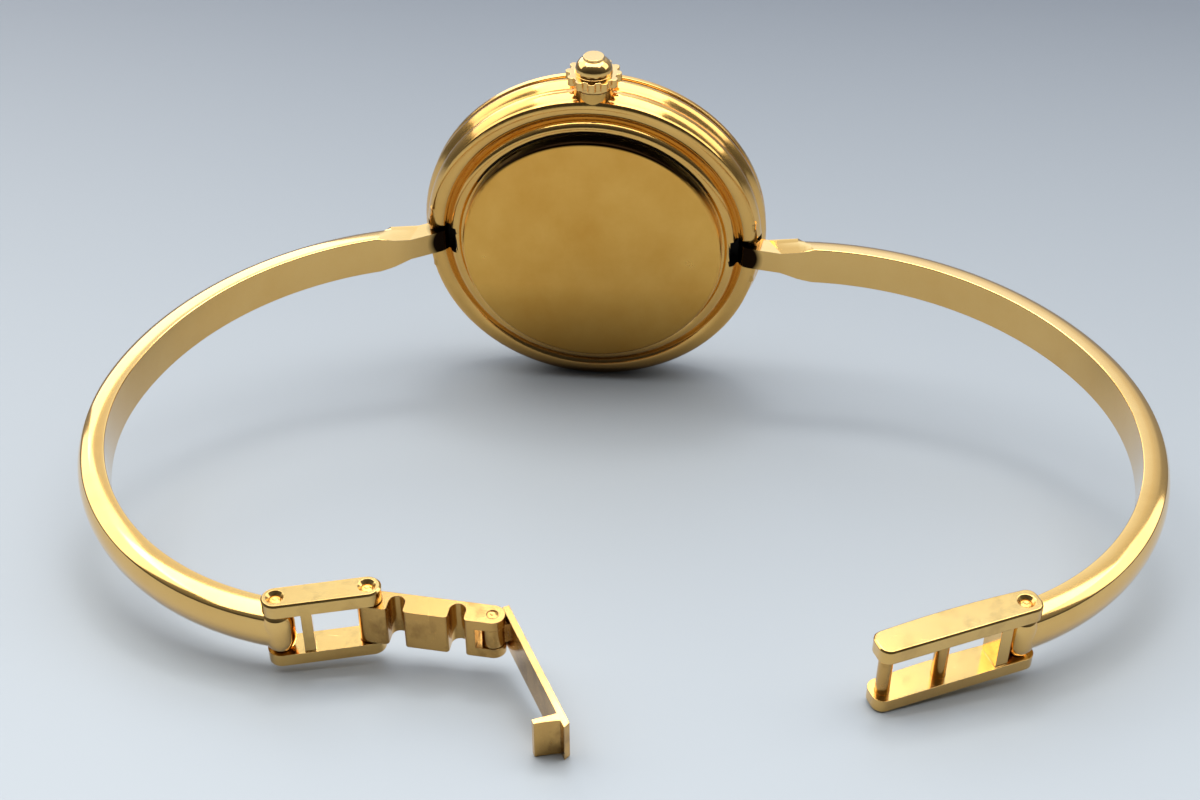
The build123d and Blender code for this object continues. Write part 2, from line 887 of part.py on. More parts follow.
# The going train: second wheel, third wheel and centre wheel
with BuildPart() as second_wheel:
    with BuildSketch(facing(case, second_place[0], arbor_back, second_place[1])):
        Circle(arbor_radius)
    extrude(amount=-(arbor_front - arbor_back))
    with BuildSketch(facing(case, second_place[0], second_level, second_place[1])):
        toothed_disc(second_teeth, train_module, second_turn)
    extrude(amount=-wheel_sheet)
    with BuildSketch(
        facing(case, second_place[0], third_level - pinion_margin, second_place[1])
    ):
        toothed_disc(second_pinion_teeth, train_module, second_pinion_turn)
    extrude(amount=-(wheel_sheet + 2 * pinion_margin))
second_wheel.part.label = "second_wheel"

with BuildPart() as third_wheel:
    with BuildSketch(facing(case, third_place[0], arbor_back, third_place[1])):
        Circle(arbor_radius)
    extrude(amount=-(arbor_front - arbor_back))
    with BuildSketch(facing(case, third_place[0], third_level, third_place[1])):
        toothed_disc(third_teeth, train_module, third_turn)
    extrude(amount=-wheel_sheet)
    with BuildSketch(
        facing(case, third_place[0], centre_level - pinion_margin, third_place[1])
    ):
        toothed_disc(third_pinion_teeth, train_module, third_pinion_turn)
    extrude(amount=-(wheel_sheet + 2 * pinion_margin))
third_wheel.part.label = "third_wheel"

# Sizes of the hands and the pipes that carry them
hour_hand_length = 5.2
minute_hand_length = 7.9
hand_tail = 1.6
hand_width = 0.6
hand_tip_width = 0.24
hub_rim = 0.3
hour_pipe_bore = cannon_pipe_radius + running_fit
hour_pipe_radius = hour_pipe_bore + hour_pipe_wall


def hand_points(length, angle):
    """Give the corners of a tapered hand that points along an angle."""
    corners = [
        (-hand_tail, -hand_width / 2),
        (0, -hand_width / 2),
        (length, -hand_tip_width / 2),
        (length, hand_tip_width / 2),
        (0, hand_width / 2),
        (-hand_tail, hand_width / 2),
    ]
    return [turned(x, y, angle) for x, y in corners]


with BuildPart() as centre_wheel:
    with BuildSketch(facing(case, 0, arbor_back, 0)):
        Circle(centre_arbor_radius)
    extrude(amount=-(cannon_front - arbor_back))
    with BuildSketch(facing(case, 0, centre_level, 0)):
        toothed_disc(centre_teeth, train_module, centre_turn)
    extrude(amount=-wheel_sheet)
centre_wheel.part.label = "centre_wheel"

with BuildPart() as cannon_pinion:
    with BuildSketch(facing(case, 0, motion_back, 0)):
        toothed_disc(cannon_teeth, motion_module, cannon_turn)
    extrude(amount=-motion_sheet)
    with BuildSketch(facing(case, 0, motion_back, 0)):
        Circle(cannon_pipe_radius)
    extrude(amount=-(cannon_front - motion_back))
    with BuildSketch(facing(case, 0, motion_back, 0)):
        Circle(centre_arbor_radius)
    extrude(amount=-(cannon_front - motion_back), mode=Mode.SUBTRACT)
cannon_pinion.part.label = "cannon_pinion"

hour_level = motion_back + motion_step
with BuildPart() as minute_wheel:
    with BuildSketch(facing(case, minute_place[0], motion_back, minute_place[1])):
        toothed_disc(minute_teeth, motion_module, minute_turn)
    extrude(amount=-motion_sheet)
    with BuildSketch(facing(case, minute_place[0], motion_back, minute_place[1])):
        toothed_disc(minute_pinion_teeth, motion_module, minute_pinion_turn)
    extrude(amount=-(motion_step + motion_sheet))
    with BuildSketch(facing(case, minute_place[0], motion_back, minute_place[1])):
        Circle(motion_post_radius + running_fit)
    extrude(amount=-(motion_step + motion_sheet), mode=Mode.SUBTRACT)
minute_wheel.part.label = "minute_wheel"

with BuildPart() as setting_wheel:
    with BuildSketch(facing(case, setting_place[0], motion_back, setting_place[1])):
        toothed_disc(setting_teeth, motion_module, setting_turn)
        Circle(motion_post_radius + running_fit, mode=Mode.SUBTRACT)
    extrude(amount=-motion_sheet)
setting_wheel.part.label = "setting_wheel"

with BuildPart() as hour_wheel:
    with BuildSketch(facing(case, 0, hour_level, 0)):
        toothed_disc(hour_teeth, motion_module, hour_turn)
    extrude(amount=-motion_sheet)
    with BuildSketch(facing(case, 0, hour_level, 0)):
        Circle(hour_pipe_radius)
    extrude(amount=-(hour_pipe_front - hour_level))
    with BuildSketch(facing(case, 0, hour_level, 0)):
        Circle(hour_pipe_bore)
    extrude(amount=-(hour_pipe_front - hour_level), mode=Mode.SUBTRACT)
hour_wheel.part.label = "hour_wheel"

with BuildPart() as hour_hand:
    with BuildSketch(facing(case, 0, hour_hand_back, 0)):
        Polygon(*hand_points(hour_hand_length, hour_hand_angle), align=None)
        Circle(hour_pipe_radius + hub_rim)
        Circle(hour_pipe_radius, mode=Mode.SUBTRACT)
    extrude(amount=-hand_sheet)
hour_hand.part.label = "hour_hand"

with BuildPart() as minute_hand:
    with BuildSketch(facing(case, 0, minute_hand_back, 0)):
        Polygon(*hand_points(minute_hand_length, minute_hand_angle), align=None)
        Circle(cannon_pipe_radius + hub_rim)
        Circle(cannon_pipe_radius, mode=Mode.SUBTRACT)
    extrude(amount=-hand_sheet)
minute_hand.part.label = "minute_hand"

# Setting lever: it turns on its pivot as the stem is pulled, with its pin in
# the groove of the stem
lever_front = plate_back - seat_gap
lever_pin_front = crown_depth - stem_groove_radius - seat_gap
with BuildPart() as setting_lever:
    with BuildSketch(facing(case, 0, lever_front - lever_sheet, 0)):
        with Locations(lever_pivot):
            Circle(2 * lever_pivot_radius)
        with Locations(lever_pin):
            Circle(2 * lever_pin_radius)
        make_hull()
    extrude(amount=-lever_sheet)
    with BuildSketch(facing(case, 0, lever_front, 0)):
        with Locations(lever_pivot):
            Circle(lever_pivot_radius)
    extrude(amount=-(screw_hold - seat_gap))
    with BuildSketch(facing(case, 0, lever_front, 0)):
        with Locations(lever_pin):
            Circle(lever_pin_radius)
    extrude(amount=-(lever_pin_front - lever_front))
setting_lever.part.label = "setting_lever"

# Crown, stem, tube and gasket on the crown's axis
neck_radius = 1.45
neck_height = 0.4
flange_radius = 1.72
flange_front = 1.05
dome_radius = 1.35
dome_height = 2.1
cap_radius = 0.75
cap_front = 2.3
dome_width_share = 0.85
dome_swell_share = 0.71
lobe_count = 12
lobe_radius = 0.3
crown_bore = 1.05
crown_bore_depth = 0.8
crown_hold = 0.6
tube_proud = 0.65
tube_start = cavity_radius + side_play
gasket_start = 0.12
gasket_length = 0.3


def crown_plane(height):
    """Give the plane across the crown's axis at a height."""
    return Plane(
        origin=case.from_local_coords((0, crown_depth, height)),
        x_dir=case.x_dir,
        z_dir=case.z_dir,
    )


crown_axis = Axis(case.from_local_coords((0, crown_depth, 0)), case.z_dir)
with BuildPart() as crown:
    with BuildSketch(facing(case, 0, crown_depth, crown_base)):
        with BuildLine():
            side_line = Polyline(
                (0, cap_front),
                (cap_radius, cap_front),
                (cap_radius, dome_height),
            )
            dome = ThreePointArc(
                side_line @ 1,
                (
                    dome_width_share * dome_radius,
                    flange_front + dome_swell_share * (dome_height - flange_front),
                ),
                (dome_radius, flange_front),
            )
            Polyline(
                dome @ 1,
                (flange_radius, flange_front),
                (flange_radius, neck_height),
                (neck_radius, neck_height),
                (neck_radius, 0),
                (crown_bore, 0),
                (crown_bore, crown_bore_depth),
                (stem_radius, crown_bore_depth),
                (stem_radius, crown_bore_depth + crown_hold),
                (0, crown_bore_depth + crown_hold),
                side_line @ 0,
            )
        make_face()
    revolve(axis=crown_axis)
    with BuildSketch(crown_plane(crown_base + neck_height)):
        with PolarLocations(flange_radius, lobe_count):
            Circle(lobe_radius)
        Circle(crown_bore + lobe_radius, mode=Mode.SUBTRACT)
    extrude(amount=flange_front - neck_height)
crown.part.label = "crown"

stem_length = crown_base + crown_bore_depth + crown_hold - stem_tip
with BuildPart() as stem:
    with BuildSketch(crown_plane(stem_tip)):
        Circle(stem_radius)
    extrude(amount=stem_length)
    with BuildSketch(crown_plane(stem_tip)):
        toothed_disc(stem_pinion_teeth, stem_pinion_module, 0)
    extrude(amount=stem_pinion_length)
    with BuildSketch(crown_plane(lever_pin[1] - groove_half_length)):
        Circle(stem_radius + overrun)
        Circle(stem_groove_radius, mode=Mode.SUBTRACT)
    extrude(amount=2 * groove_half_length, mode=Mode.SUBTRACT)
stem.part.label = "stem"

with BuildPart() as crown_tube:
    with BuildSketch(crown_plane(tube_start)):
        Circle(tube_radius)
    extrude(amount=crown_base + tube_proud - tube_start)
    with BuildSketch(crown_plane(tube_collar_floor)):
        Circle(tube_collar_radius)
    extrude(amount=crown_base - tube_collar_floor - running_fit)
    with BuildSketch(crown_plane(tube_start)):
        Circle(stem_radius + running_fit)
    extrude(amount=crown_base + tube_proud - tube_start, mode=Mode.SUBTRACT)
crown_tube.part.label = "crown_tube"

with BuildPart() as crown_gasket:
    with BuildSketch(crown_plane(crown_base + gasket_start)):
        Circle(crown_bore - seat_gap)
        Circle(tube_radius + running_fit, mode=Mode.SUBTRACT)
    extrude(amount=gasket_length)
crown_gasket.part.label = "crown_gasket"

# Hinge pins that carry the arms in the slots of the mid-case
with BuildPart() as left_hinge_pin:
    with BuildSketch(case.offset(-hinge_pin_half)):
        with Locations((-hinge_x, hinge_y)):
            Circle(pin_radius)
    extrude(amount=2 * hinge_pin_half)
left_hinge_pin.part.label = "left_hinge_pin"

with BuildPart() as right_hinge_pin:
    with BuildSketch(case.offset(-hinge_pin_half)):
        with Locations((hinge_x, hinge_y)):
            Circle(pin_radius)
    extrude(amount=2 * hinge_pin_half)
right_hinge_pin.part.label = "right_hinge_pin"

# Bangle arms.  The domed section turns about the centre of the lower arc and
# then of the upper arc, from the widest place of the bangle.  A knuckle ends
# the arm at the clasp and a narrow tab ends it at the case.
section_edge = 0.1
section_shoulder = 0.45
tab_neck = 1.3
tab_shoulder = 3.4
arc_start = 14.2
start_drop = sqrt(upper_arc_radius**2 - (arc_start - upper_centre_x) ** 2)
upper_sweep = 180 - degrees(atan2(start_drop, -(arc_start - upper_centre_x)))
lower_sweep = 90 + degrees(
    atan2(lower_centre_x - clasp_half_span, arm_end_drop)
)


def build_arm(frame, side):
    """Build one arm in its frame: side is -1 on the left and 1 on the right."""
    reach = side * bangle_half_width
    x_zero = side * hinge_x
    y_widest = -widest_level - hinge_y
    inner = reach - x_zero
    outer = inner + side * arm_thickness
    shoulder = outer - side * section_shoulder
    edge = side * section_edge
    half = arm_width / 2
    lower_axis = axis_z(frame, side * lower_centre_x - x_zero, y_widest, -side)
    upper_axis = axis_z(frame, side * upper_centre_x - x_zero, y_widest, side)
    end_place = (-side * end_x, end_y)
    start_inner = (side * arc_start - x_zero, y_widest + start_drop)
    grow = (upper_arc_radius + arm_thickness) / upper_arc_radius
    start_outer = (
        side * upper_centre_x - x_zero + side * grow * (arc_start - upper_centre_x),
        y_widest + grow * start_drop,
    )
    with BuildPart() as arm:
        with BuildSketch(facing(frame, 0, y_widest, 0)) as section:
            with BuildLine():
                lower_side = Polyline(
                    (shoulder, -half),
                    (inner + edge, -half),
                    (inner, -half + section_edge),
                    (inner, half - section_edge),
                    (inner + edge, half),
                    (shoulder, half),
                )
                ThreePointArc(lower_side @ 1, (outer, 0), lower_side @ 0)
            make_face()
        revolve(profiles=section.sketch, axis=lower_axis, revolution_arc=lower_sweep)
        revolve(profiles=section.sketch, axis=upper_axis, revolution_arc=upper_sweep)
        with BuildSketch(frame.offset(-half)):
            with Locations(end_place):
                Circle(arm_half)
        extrude(amount=arm_width)
        with BuildSketch(frame.offset(-half)):
            Circle(tab_radius)
            Polygon(start_inner, start_outer, (0, 0), align=None)
            make_hull()
        extrude(amount=arm_width)
        for face in (-1, 1):
            with BuildSketch(facing(frame, 0, hinge_y + tab_radius + overrun, 0)):
                with BuildLine():
                    Polyline(
                        (-side * (tab_radius + overrun), face * tab_width / 2),
                        (side * tab_neck, face * tab_width / 2),
                        (side * tab_shoulder, face * (half + seat_gap)),
                        (side * tab_shoulder, face * (half + overrun)),
                        (-side * (tab_radius + overrun), face * (half + overrun)),
                        close=True,
                    )
                make_face()
            extrude(amount=arc_start / 2, mode=Mode.SUBTRACT)
        with BuildSketch(frame.offset(-half)):
            Circle(pin_radius + running_fit)
            with Locations(end_place):
                Circle(pin_radius + running_fit)
        extrude(amount=arm_width, mode=Mode.SUBTRACT)
    return arm


left_arm = build_arm(left_arm_frame, -1)
left_arm.part.label = "left_arm"
right_arm = build_arm(right_arm_frame, 1)
right_arm.part.label = "right_arm"

# Link: two side plates joined by a narrow web, with a sunk pin at each end
plate_edge = 0.12
web_start = 1.35
web_width = 0.65
web_back = 0.55
web_front = 0.75
pin_sink = 0.22
sink_radius = 0.55
half_gap = clasp_gap / 2


def plate_levels():
    """Give the lower face level of both side plates."""
    return (-half_clasp, half_gap)


with BuildPart() as link:
    for bottom in plate_levels():
        with BuildSketch(link_frame.offset(bottom)):
            with Locations((link_length / 2, 0)):
                SlotCenterToCenter(link_length, link_height)
        extrude(amount=side_plate)
    for outer in (0, -1):
        chamfer(
            link.faces().sort_by(axis_z(link_frame))[outer].edges(), length=plate_edge
        )
    with BuildSketch(link_frame.offset(-half_gap)):
        with Locations((web_start + web_width / 2, (web_back - web_front) / 2)):
            Rectangle(web_width, web_back + web_front)
    extrude(amount=clasp_gap)
    with BuildSketch(link_frame.offset(-half_clasp)):
        with Locations((0, 0), (link_length, 0)):
            Circle(pin_radius)
    extrude(amount=2 * half_clasp, mode=Mode.SUBTRACT)
    for top in (-1, 1):
        with BuildSketch(link_frame.offset(top * half_clasp)):
            with Locations((0, 0), (link_length, 0)):
                Circle(sink_radius)
        extrude(amount=-top * pin_sink, taper=45, mode=Mode.SUBTRACT)
link.part.label = "link"


def build_pin(frame, x, half, radius):
    """Build a round pin along z at a place of a frame."""
    with BuildPart() as pin:
        with BuildSketch(frame.offset(-half)):
            with Locations((x, 0)):
                Circle(radius)
        extrude(amount=2 * half)
    return pin


pin_half = half_clasp - pin_sink
left_end_pin = build_pin(link_frame, 0, pin_half, pin_radius)
left_end_pin.part.label = "left_end_pin"
link_pin = build_pin(link_frame, link_length, pin_half, pin_radius)
link_pin.part.label = "link_pin"

# Notched bar: two notches open to the outside take the bars of the frame,
# and two ears at the end carry the latch
bar_half = arm_width / 2
bar_end = 0.65
bar_end_round = 0.55
ear_thickness = 0.72
ear_slot_back = 0.95
mouth_round = 0.22
notch_places = (notch_offset, notch_offset + bar_pitch)
ear_end = notched_bar_height / 2
ear_round = ear_end - seat_gap / 2


def bar_corners(outline, x, y=None):
    """Give the corners of the bar's outline at x, and at y if it is given."""
    found = ShapeList()
    for corner in outline.vertices():
        if abs(corner.X - x) < seat_gap / 2:
            if y is None or abs(corner.Y - y) < seat_gap / 2:
                found.append(corner)
    return found


with BuildPart() as notched_bar:
    with BuildSketch(notched_bar_frame.offset(-bar_half)) as bar_outline:
        with Locations(((bar_length + ear_end - bar_end) / 2, 0)):
            Rectangle(bar_length + ear_end + bar_end, notched_bar_height)
        fillet(bar_corners(bar_outline, -bar_end), radius=bar_end_round)
        fillet(bar_corners(bar_outline, bar_length + ear_end), radius=ear_round)
        with Locations(*[(x, 0) for x in notch_places]):
            Circle(notch_radius, mode=Mode.SUBTRACT)
        with Locations(*[(x, -notched_bar_height / 2) for x in notch_places]):
            Rectangle(2 * notch_radius, notched_bar_height, mode=Mode.SUBTRACT)
        for place in notch_places:
            for mouth in (place - notch_radius, place + notch_radius):
                fillet(bar_corners(bar_outline, mouth, -ear_end), radius=mouth_round)
    extrude(amount=arm_width)
    with BuildSketch(notched_bar_frame.offset(-bar_half + ear_thickness)):
        with Locations((bar_length - ear_slot_back + overrun, 0)):
            Rectangle(2 * overrun, 2 * notched_bar_height)
    extrude(amount=arm_width - 2 * ear_thickness, mode=Mode.SUBTRACT)
    with BuildSketch(notched_bar_frame.offset(-bar_half)):
        Circle(pin_radius + running_fit)
        with Locations((bar_length, 0)):
            Circle(pin_radius)
    extrude(amount=arm_width, mode=Mode.SUBTRACT)
notched_bar.part.label = "notched_bar"

latch_pin = build_pin(notched_bar_frame, bar_length, bar_half, pin_radius)
latch_pin.part.label = "latch_pin"

# Latch plate: a thin plate on a knuckle, with a curved hook before its end
knuckle_half = bar_half - ear_thickness - side_play / 2
knuckle_radius = 0.7
plate_start = -0.4
sheet_inner = notched_bar_height / 2 + seat_gap
sheet_outer = sheet_inner + latch_sheet
knuckle_half_block = 0.42
hook_root = 8.44
hook_tip = 8.3
hook_sheet = 0.32
hook_reach = 0.7
latch_half = latch_width / 2
with BuildPart() as latch_plate:
    with BuildSketch(latch_frame.offset(-latch_half)):
        with BuildLine():
            Polyline(
                (plate_start, sheet_inner),
                (plate_start, sheet_outer),
                (latch_length - latch_sheet / 2, sheet_outer),
                (latch_length, sheet_inner),
                close=True,
            )
        make_face()
        with BuildLine():
            hook_inner = Line((hook_root, sheet_outer), (hook_tip, -hook_reach))
            hook_edge = Line(hook_inner @ 1, (hook_tip + hook_sheet, -hook_reach))
            hook_outer = ThreePointArc(
                hook_edge @ 1,
                (hook_root + hook_sheet, 0),
                (hook_root + 2 * hook_sheet, sheet_outer),
            )
            Line(hook_outer @ 1, hook_inner @ 0)
        make_face()
    extrude(amount=latch_width)
    with BuildSketch(latch_frame.offset(-knuckle_half)):
        Circle(knuckle_radius)
        with Locations((0, sheet_outer / 2)):
            Rectangle(2 * knuckle_half_block, sheet_outer)
    extrude(amount=2 * knuckle_half)
    with BuildSketch(latch_frame.offset(-knuckle_half)):
        Circle(pin_radius + running_fit)
    extrude(amount=2 * knuckle_half, mode=Mode.SUBTRACT)
latch_plate.part.label = "latch_plate"

# Right frame: two side plates joined by a deep web near the arm, with two
# round bars that drop into the notches
frame_web_start = 1.1
frame_web_width = 0.8
frame_bow = 0.2
frame_end_round = 0.7
frame_half_height = frame_height / 2
with BuildPart() as right_frame:
    for bottom in plate_levels():
        with BuildSketch(right_frame_frame.offset(bottom)) as frame_side:
            with BuildLine():
                outer_line = Polyline(
                    (-frame_half_height, -frame_half_height),
                    (-frame_half_height, frame_half_height),
                    (frame_length + ear_end, frame_half_height),
                    (frame_length + ear_end, -frame_half_height),
                )
                ThreePointArc(
                    outer_line @ 1,
                    (frame_length / 2, -frame_half_height - frame_bow),
                    outer_line @ 0,
                )
            make_face()
            fillet(frame_side.vertices(), radius=frame_end_round)
        extrude(amount=side_plate)
    for outer in (0, -1):
        chamfer(
            right_frame.faces().sort_by(axis_z(right_frame_frame))[outer].edges(),
            length=plate_edge,
        )
    with BuildSketch(right_frame_frame.offset(-half_gap)):
        with Locations((frame_web_start + frame_web_width / 2, 0)):
            Rectangle(frame_web_width, frame_height - 2 * plate_edge)
    extrude(amount=clasp_gap)
    with BuildSketch(right_frame_frame.offset(-half_clasp)):
        Circle(pin_radius)
    extrude(amount=2 * half_clasp, mode=Mode.SUBTRACT)
    with BuildSketch(right_frame_frame.offset(-half_gap - side_plate / 2)):
        with Locations((frame_tail, 0), (frame_length, 0)):
            Circle(frame_bar_radius)
    extrude(amount=clasp_gap + side_plate, mode=Mode.SUBTRACT)
    for top in (-1, 1):
        with BuildSketch(right_frame_frame.offset(top * half_clasp)):
            Circle(sink_radius)
        extrude(amount=-top * pin_sink, taper=45, mode=Mode.SUBTRACT)
right_frame.part.label = "right_frame"

with BuildPart() as frame_bars:
    with BuildSketch(right_frame_frame.offset(-half_gap - side_plate / 2)):
        with Locations((frame_tail, 0), (frame_length, 0)):
            Circle(frame_bar_radius)
    extrude(amount=clasp_gap + side_plate)
frame_bars.part.label = "frame_bars"

right_end_pin = build_pin(right_frame_frame, 0, pin_half, pin_radius)
right_end_pin.part.label = "right_end_pin"

# The pieces stand on the table with the middle of their box over the origin
pieces = [
    mid_case, bezel, case_back, case_back_gasket, crystal, crystal_gasket,
    dial, hour_markers, dial_feet, movement_ring, main_plate, train_bridge,
    bridge_screws, battery, battery_clamp, circuit_board, circuit_chip,
    quartz_can, stator, coil_core, coil_winding, rotor, second_wheel,
    third_wheel, centre_wheel, cannon_pinion, minute_wheel, setting_wheel,
    hour_wheel, hour_hand, minute_hand, setting_lever, crown, stem,
    crown_tube, crown_gasket, left_hinge_pin, right_hinge_pin, left_arm,
    right_arm, link, left_end_pin, link_pin, notched_bar, latch_pin,
    latch_plate, right_frame, frame_bars, right_end_pin,
]
boxes = [piece.part.bounding_box() for piece in pieces]
low = Vector(
    min(box.min.X for box in boxes),
    min(box.min.Y for box in boxes),
    min(box.min.Z for box in boxes),
)
high = Vector(max(box.max.X for box in boxes), max(box.max.Y for box in boxes), 0)
shift = Vector(-(low.X + high.X) / 2, -(low.Y + high.Y) / 2, -low.Z)
for piece in pieces:
    piece.part.move(Location(shift))

export_step(mid_case.part, "parts/mid_case.step")
export_step(bezel.part, "parts/bezel.step")
export_step(case_back.part, "parts/case_back.step")
export_step(case_back_gasket.part, "parts/case_back_gasket.step")
export_step(crystal.part, "parts/crystal.step")
export_step(crystal_gasket.part, "parts/crystal_gasket.step")
export_step(dial.part, "parts/dial.step")
export_step(hour_markers.part, "parts/hour_markers.step")
export_step(dial_feet.part, "parts/dial_feet.step")
export_step(movement_ring.part, "parts/movement_ring.step")
export_step(main_plate.part, "parts/main_plate.step")
export_step(train_bridge.part, "parts/train_bridge.step")
export_step(bridge_screws.part, "parts/bridge_screws.step")
export_step(battery.part, "parts/battery.step")
export_step(battery_clamp.part, "parts/battery_clamp.step")
export_step(circuit_board.part, "parts/circuit_board.step")
export_step(circuit_chip.part, "parts/circuit_chip.step")
export_step(quartz_can.part, "parts/quartz_can.step")
export_step(stator.part, "parts/stator.step")
export_step(coil_core.part, "parts/coil_core.step")
export_step(coil_winding.part, "parts/coil_winding.step")
export_step(rotor.part, "parts/rotor.step")
export_step(second_wheel.part, "parts/second_wheel.step")
export_step(third_wheel.part, "parts/third_wheel.step")
export_step(centre_wheel.part, "parts/centre_wheel.step")
export_step(cannon_pinion.part, "parts/cannon_pinion.step")
export_step(minute_wheel.part, "parts/minute_wheel.step")
export_step(setting_wheel.part, "parts/setting_wheel.step")
export_step(hour_wheel.part, "parts/hour_wheel.step")
export_step(hour_hand.part, "parts/hour_hand.step")
export_step(minute_hand.part, "parts/minute_hand.step")
export_step(setting_lever.part, "parts/setting_lever.step")
export_step(crown.part, "parts/crown.step")
export_step(stem.part, "parts/stem.step")
export_step(crown_tube.part, "parts/crown_tube.step")
export_step(crown_gasket.part, "parts/crown_gasket.step")
export_step(left_hinge_pin.part, "parts/left_hinge_pin.step")
export_step(right_hinge_pin.part, "parts/right_hinge_pin.step")
export_step(left_arm.part, "parts/left_arm.step")
export_step(right_arm.part, "parts/right_arm.step")
export_step(link.part, "parts/link.step")
export_step(left_end_pin.part, "parts/left_end_pin.step")
export_step(link_pin.part, "parts/link_pin.step")
export_step(notched_bar.part, "parts/notched_bar.step")
export_step(latch_pin.part, "parts/latch_pin.step")
export_step(latch_plate.part, "parts/latch_plate.step")
export_step(right_frame.part, "parts/right_frame.step")
export_step(frame_bars.part, "parts/frame_bars.step")
export_step(right_end_pin.part, "parts/right_end_pin.step")
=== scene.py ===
"""Looks of an open bangle watch that lies with its case back towards the viewer."""

from __future__ import annotations

import json
import logging
import math
from collections.abc import Callable, Sequence
from dataclasses import dataclass, field, replace
from enum import Enum
from functools import partial, reduce

import bmesh
import bpy
from mathutils import Matrix, Vector


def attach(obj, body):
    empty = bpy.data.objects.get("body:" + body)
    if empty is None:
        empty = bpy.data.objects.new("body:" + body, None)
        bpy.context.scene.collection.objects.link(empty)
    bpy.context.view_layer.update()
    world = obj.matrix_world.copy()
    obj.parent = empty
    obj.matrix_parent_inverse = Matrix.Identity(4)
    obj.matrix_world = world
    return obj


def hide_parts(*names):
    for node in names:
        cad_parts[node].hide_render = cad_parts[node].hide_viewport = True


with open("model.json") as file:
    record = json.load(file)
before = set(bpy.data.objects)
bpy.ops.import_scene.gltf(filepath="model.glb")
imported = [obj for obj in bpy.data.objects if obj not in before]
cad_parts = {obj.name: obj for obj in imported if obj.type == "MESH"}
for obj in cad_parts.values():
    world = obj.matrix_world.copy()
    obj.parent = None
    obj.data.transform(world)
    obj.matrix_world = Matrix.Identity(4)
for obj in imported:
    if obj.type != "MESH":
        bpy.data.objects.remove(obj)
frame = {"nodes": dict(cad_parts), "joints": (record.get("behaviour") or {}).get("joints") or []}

MM = 0.001

Pair = tuple[float, float]
Place = tuple[float, float, float]
Colour = tuple[float, float, float]
Paint = tuple[float, float, float, float]
Piece = bpy.types.Object
Material = bpy.types.Material
ShaderTree = bpy.types.ShaderNodeTree
Socket = bpy.types.NodeSocket
BMesh = bmesh.types.BMesh
BMEdge = bmesh.types.BMEdge
BMFace = bmesh.types.BMFace
log = logging.getLogger("bangle_watch")


class Hand(Enum):
    """Which side of the case a piece is on, as the sign of its x."""

    LEFT = -1
    RIGHT = 1


# Frames of the bodies


@dataclass(frozen=True)
class Bench:
    """A local frame of the watch: an origin in metres and two of its axes."""

    origin: Vector
    x_axis: Vector
    z_axis: Vector

    @property
    def y_axis(self) -> Vector:
        """Give the third axis."""
        return self.z_axis.cross(self.x_axis)

    @property
    def matrix(self) -> Matrix:
        """Give the matrix from millimetres in this frame to metres in the scene."""
        turn = Matrix((self.x_axis, self.y_axis, self.z_axis)).transposed().to_4x4()
        return Matrix.Translation(self.origin) @ turn @ Matrix.Scale(MM, 4)

    def point(self, x: float, y: float, z: float = 0.0) -> Vector:
        """Give the place in the scene of a point in millimetres."""
        return self.matrix @ Vector((x, y, z))

    def turned(self, x: float, y: float, degrees: float) -> Bench:
        """Give the frame at a point of this one, turned about its z axis.

        Args:
            x: Place along x, in millimetres.
            y: Place along y, in millimetres.
            degrees: Turn about z.

        Returns:
            The turned frame.
        """
        spin = Matrix.Rotation(math.radians(degrees), 3, self.z_axis)
        return Bench(self.point(x, y), spin @ self.x_axis, self.z_axis)


def joint_named(name: str) -> dict:
    """Give the record of a joint."""
    return next(joint for joint in frame["joints"] if joint["name"] == name)


def case_bench() -> Bench:
    """Give the case frame: x across the wrist, y to the dial, z along the crown."""
    dial_axis = joint_named("minute_hand_turn")
    crown_axis = Vector(joint_named("left_arm_hinge")["axis"]).normalized()
    ahead = Vector(dial_axis["axis"]).normalized()
    return Bench(Vector(dial_axis["pos_m"]), ahead.cross(crown_axis), crown_axis)


@dataclass(frozen=True)
class WatchBenches:
    """The frames of the bodies that new pieces are drawn in."""

    case: Bench
    left_arm: Bench
    right_arm: Bench
    link: Bench
    link_far_end: Bench
    notched_bar: Bench
    latch: Bench
    right_frame: Bench


@dataclass(frozen=True)
class Stance:
    """How the open watch lies: hinges in millimetres and turns in degrees.

    The clasp end is a place on the right arm, mirrored for the left one.
    """

    case_hinge: Pair = (11.9, 0.2)
    clasp_end: Pair = (-3.8, -40.7575)
    left_arm_turn: float = -9.64
    right_arm_turn: float = 29.9
    link_turn: float = 24.84
    link_length: float = 5.4
    notched_bar_turn: float = -20.0
    notched_bar_length: float = 7.55
    latch_turn: float = -57.7
    right_frame_turn: float = 180.0 - 4.3

    def lay_out(self) -> WatchBenches:
        """Lay out the frames of the bodies as they stand on the table.

        Returns:
            The frames.
        """
        out, ahead = self.case_hinge
        end_x, end_y = self.clasp_end
        case = case_bench()
        left_arm = case.turned(-out, ahead, self.left_arm_turn)
        right_arm = case.turned(out, ahead, self.right_arm_turn)
        link = left_arm.turned(-end_x, end_y, self.link_turn)
        notched_bar = link.turned(self.link_length, 0.0, self.notched_bar_turn)
        return WatchBenches(
            case=case,
            left_arm=left_arm,
            right_arm=right_arm,
            link=link,
            link_far_end=link.turned(self.link_length, 0.0, 0.0),
            notched_bar=notched_bar,
            latch=notched_bar.turned(self.notched_bar_length, 0.0, self.latch_turn),
            right_frame=right_arm.turned(end_x, end_y, self.right_frame_turn),
        )


# Node trees

NUMBERS = "ShaderNodeMath"
VECTORS = "ShaderNodeVectorMath"


def linear(colour: Colour) -> Paint:
    """Turn a display colour from 0 to 255 into a linear one."""
    parts = [value / 255.0 for value in colour]
    out = [p / 12.92 if p <= 0.04045 else ((p + 0.055) / 1.055) ** 2.4 for p in parts]
    return (out[0], out[1], out[2], 1.0)


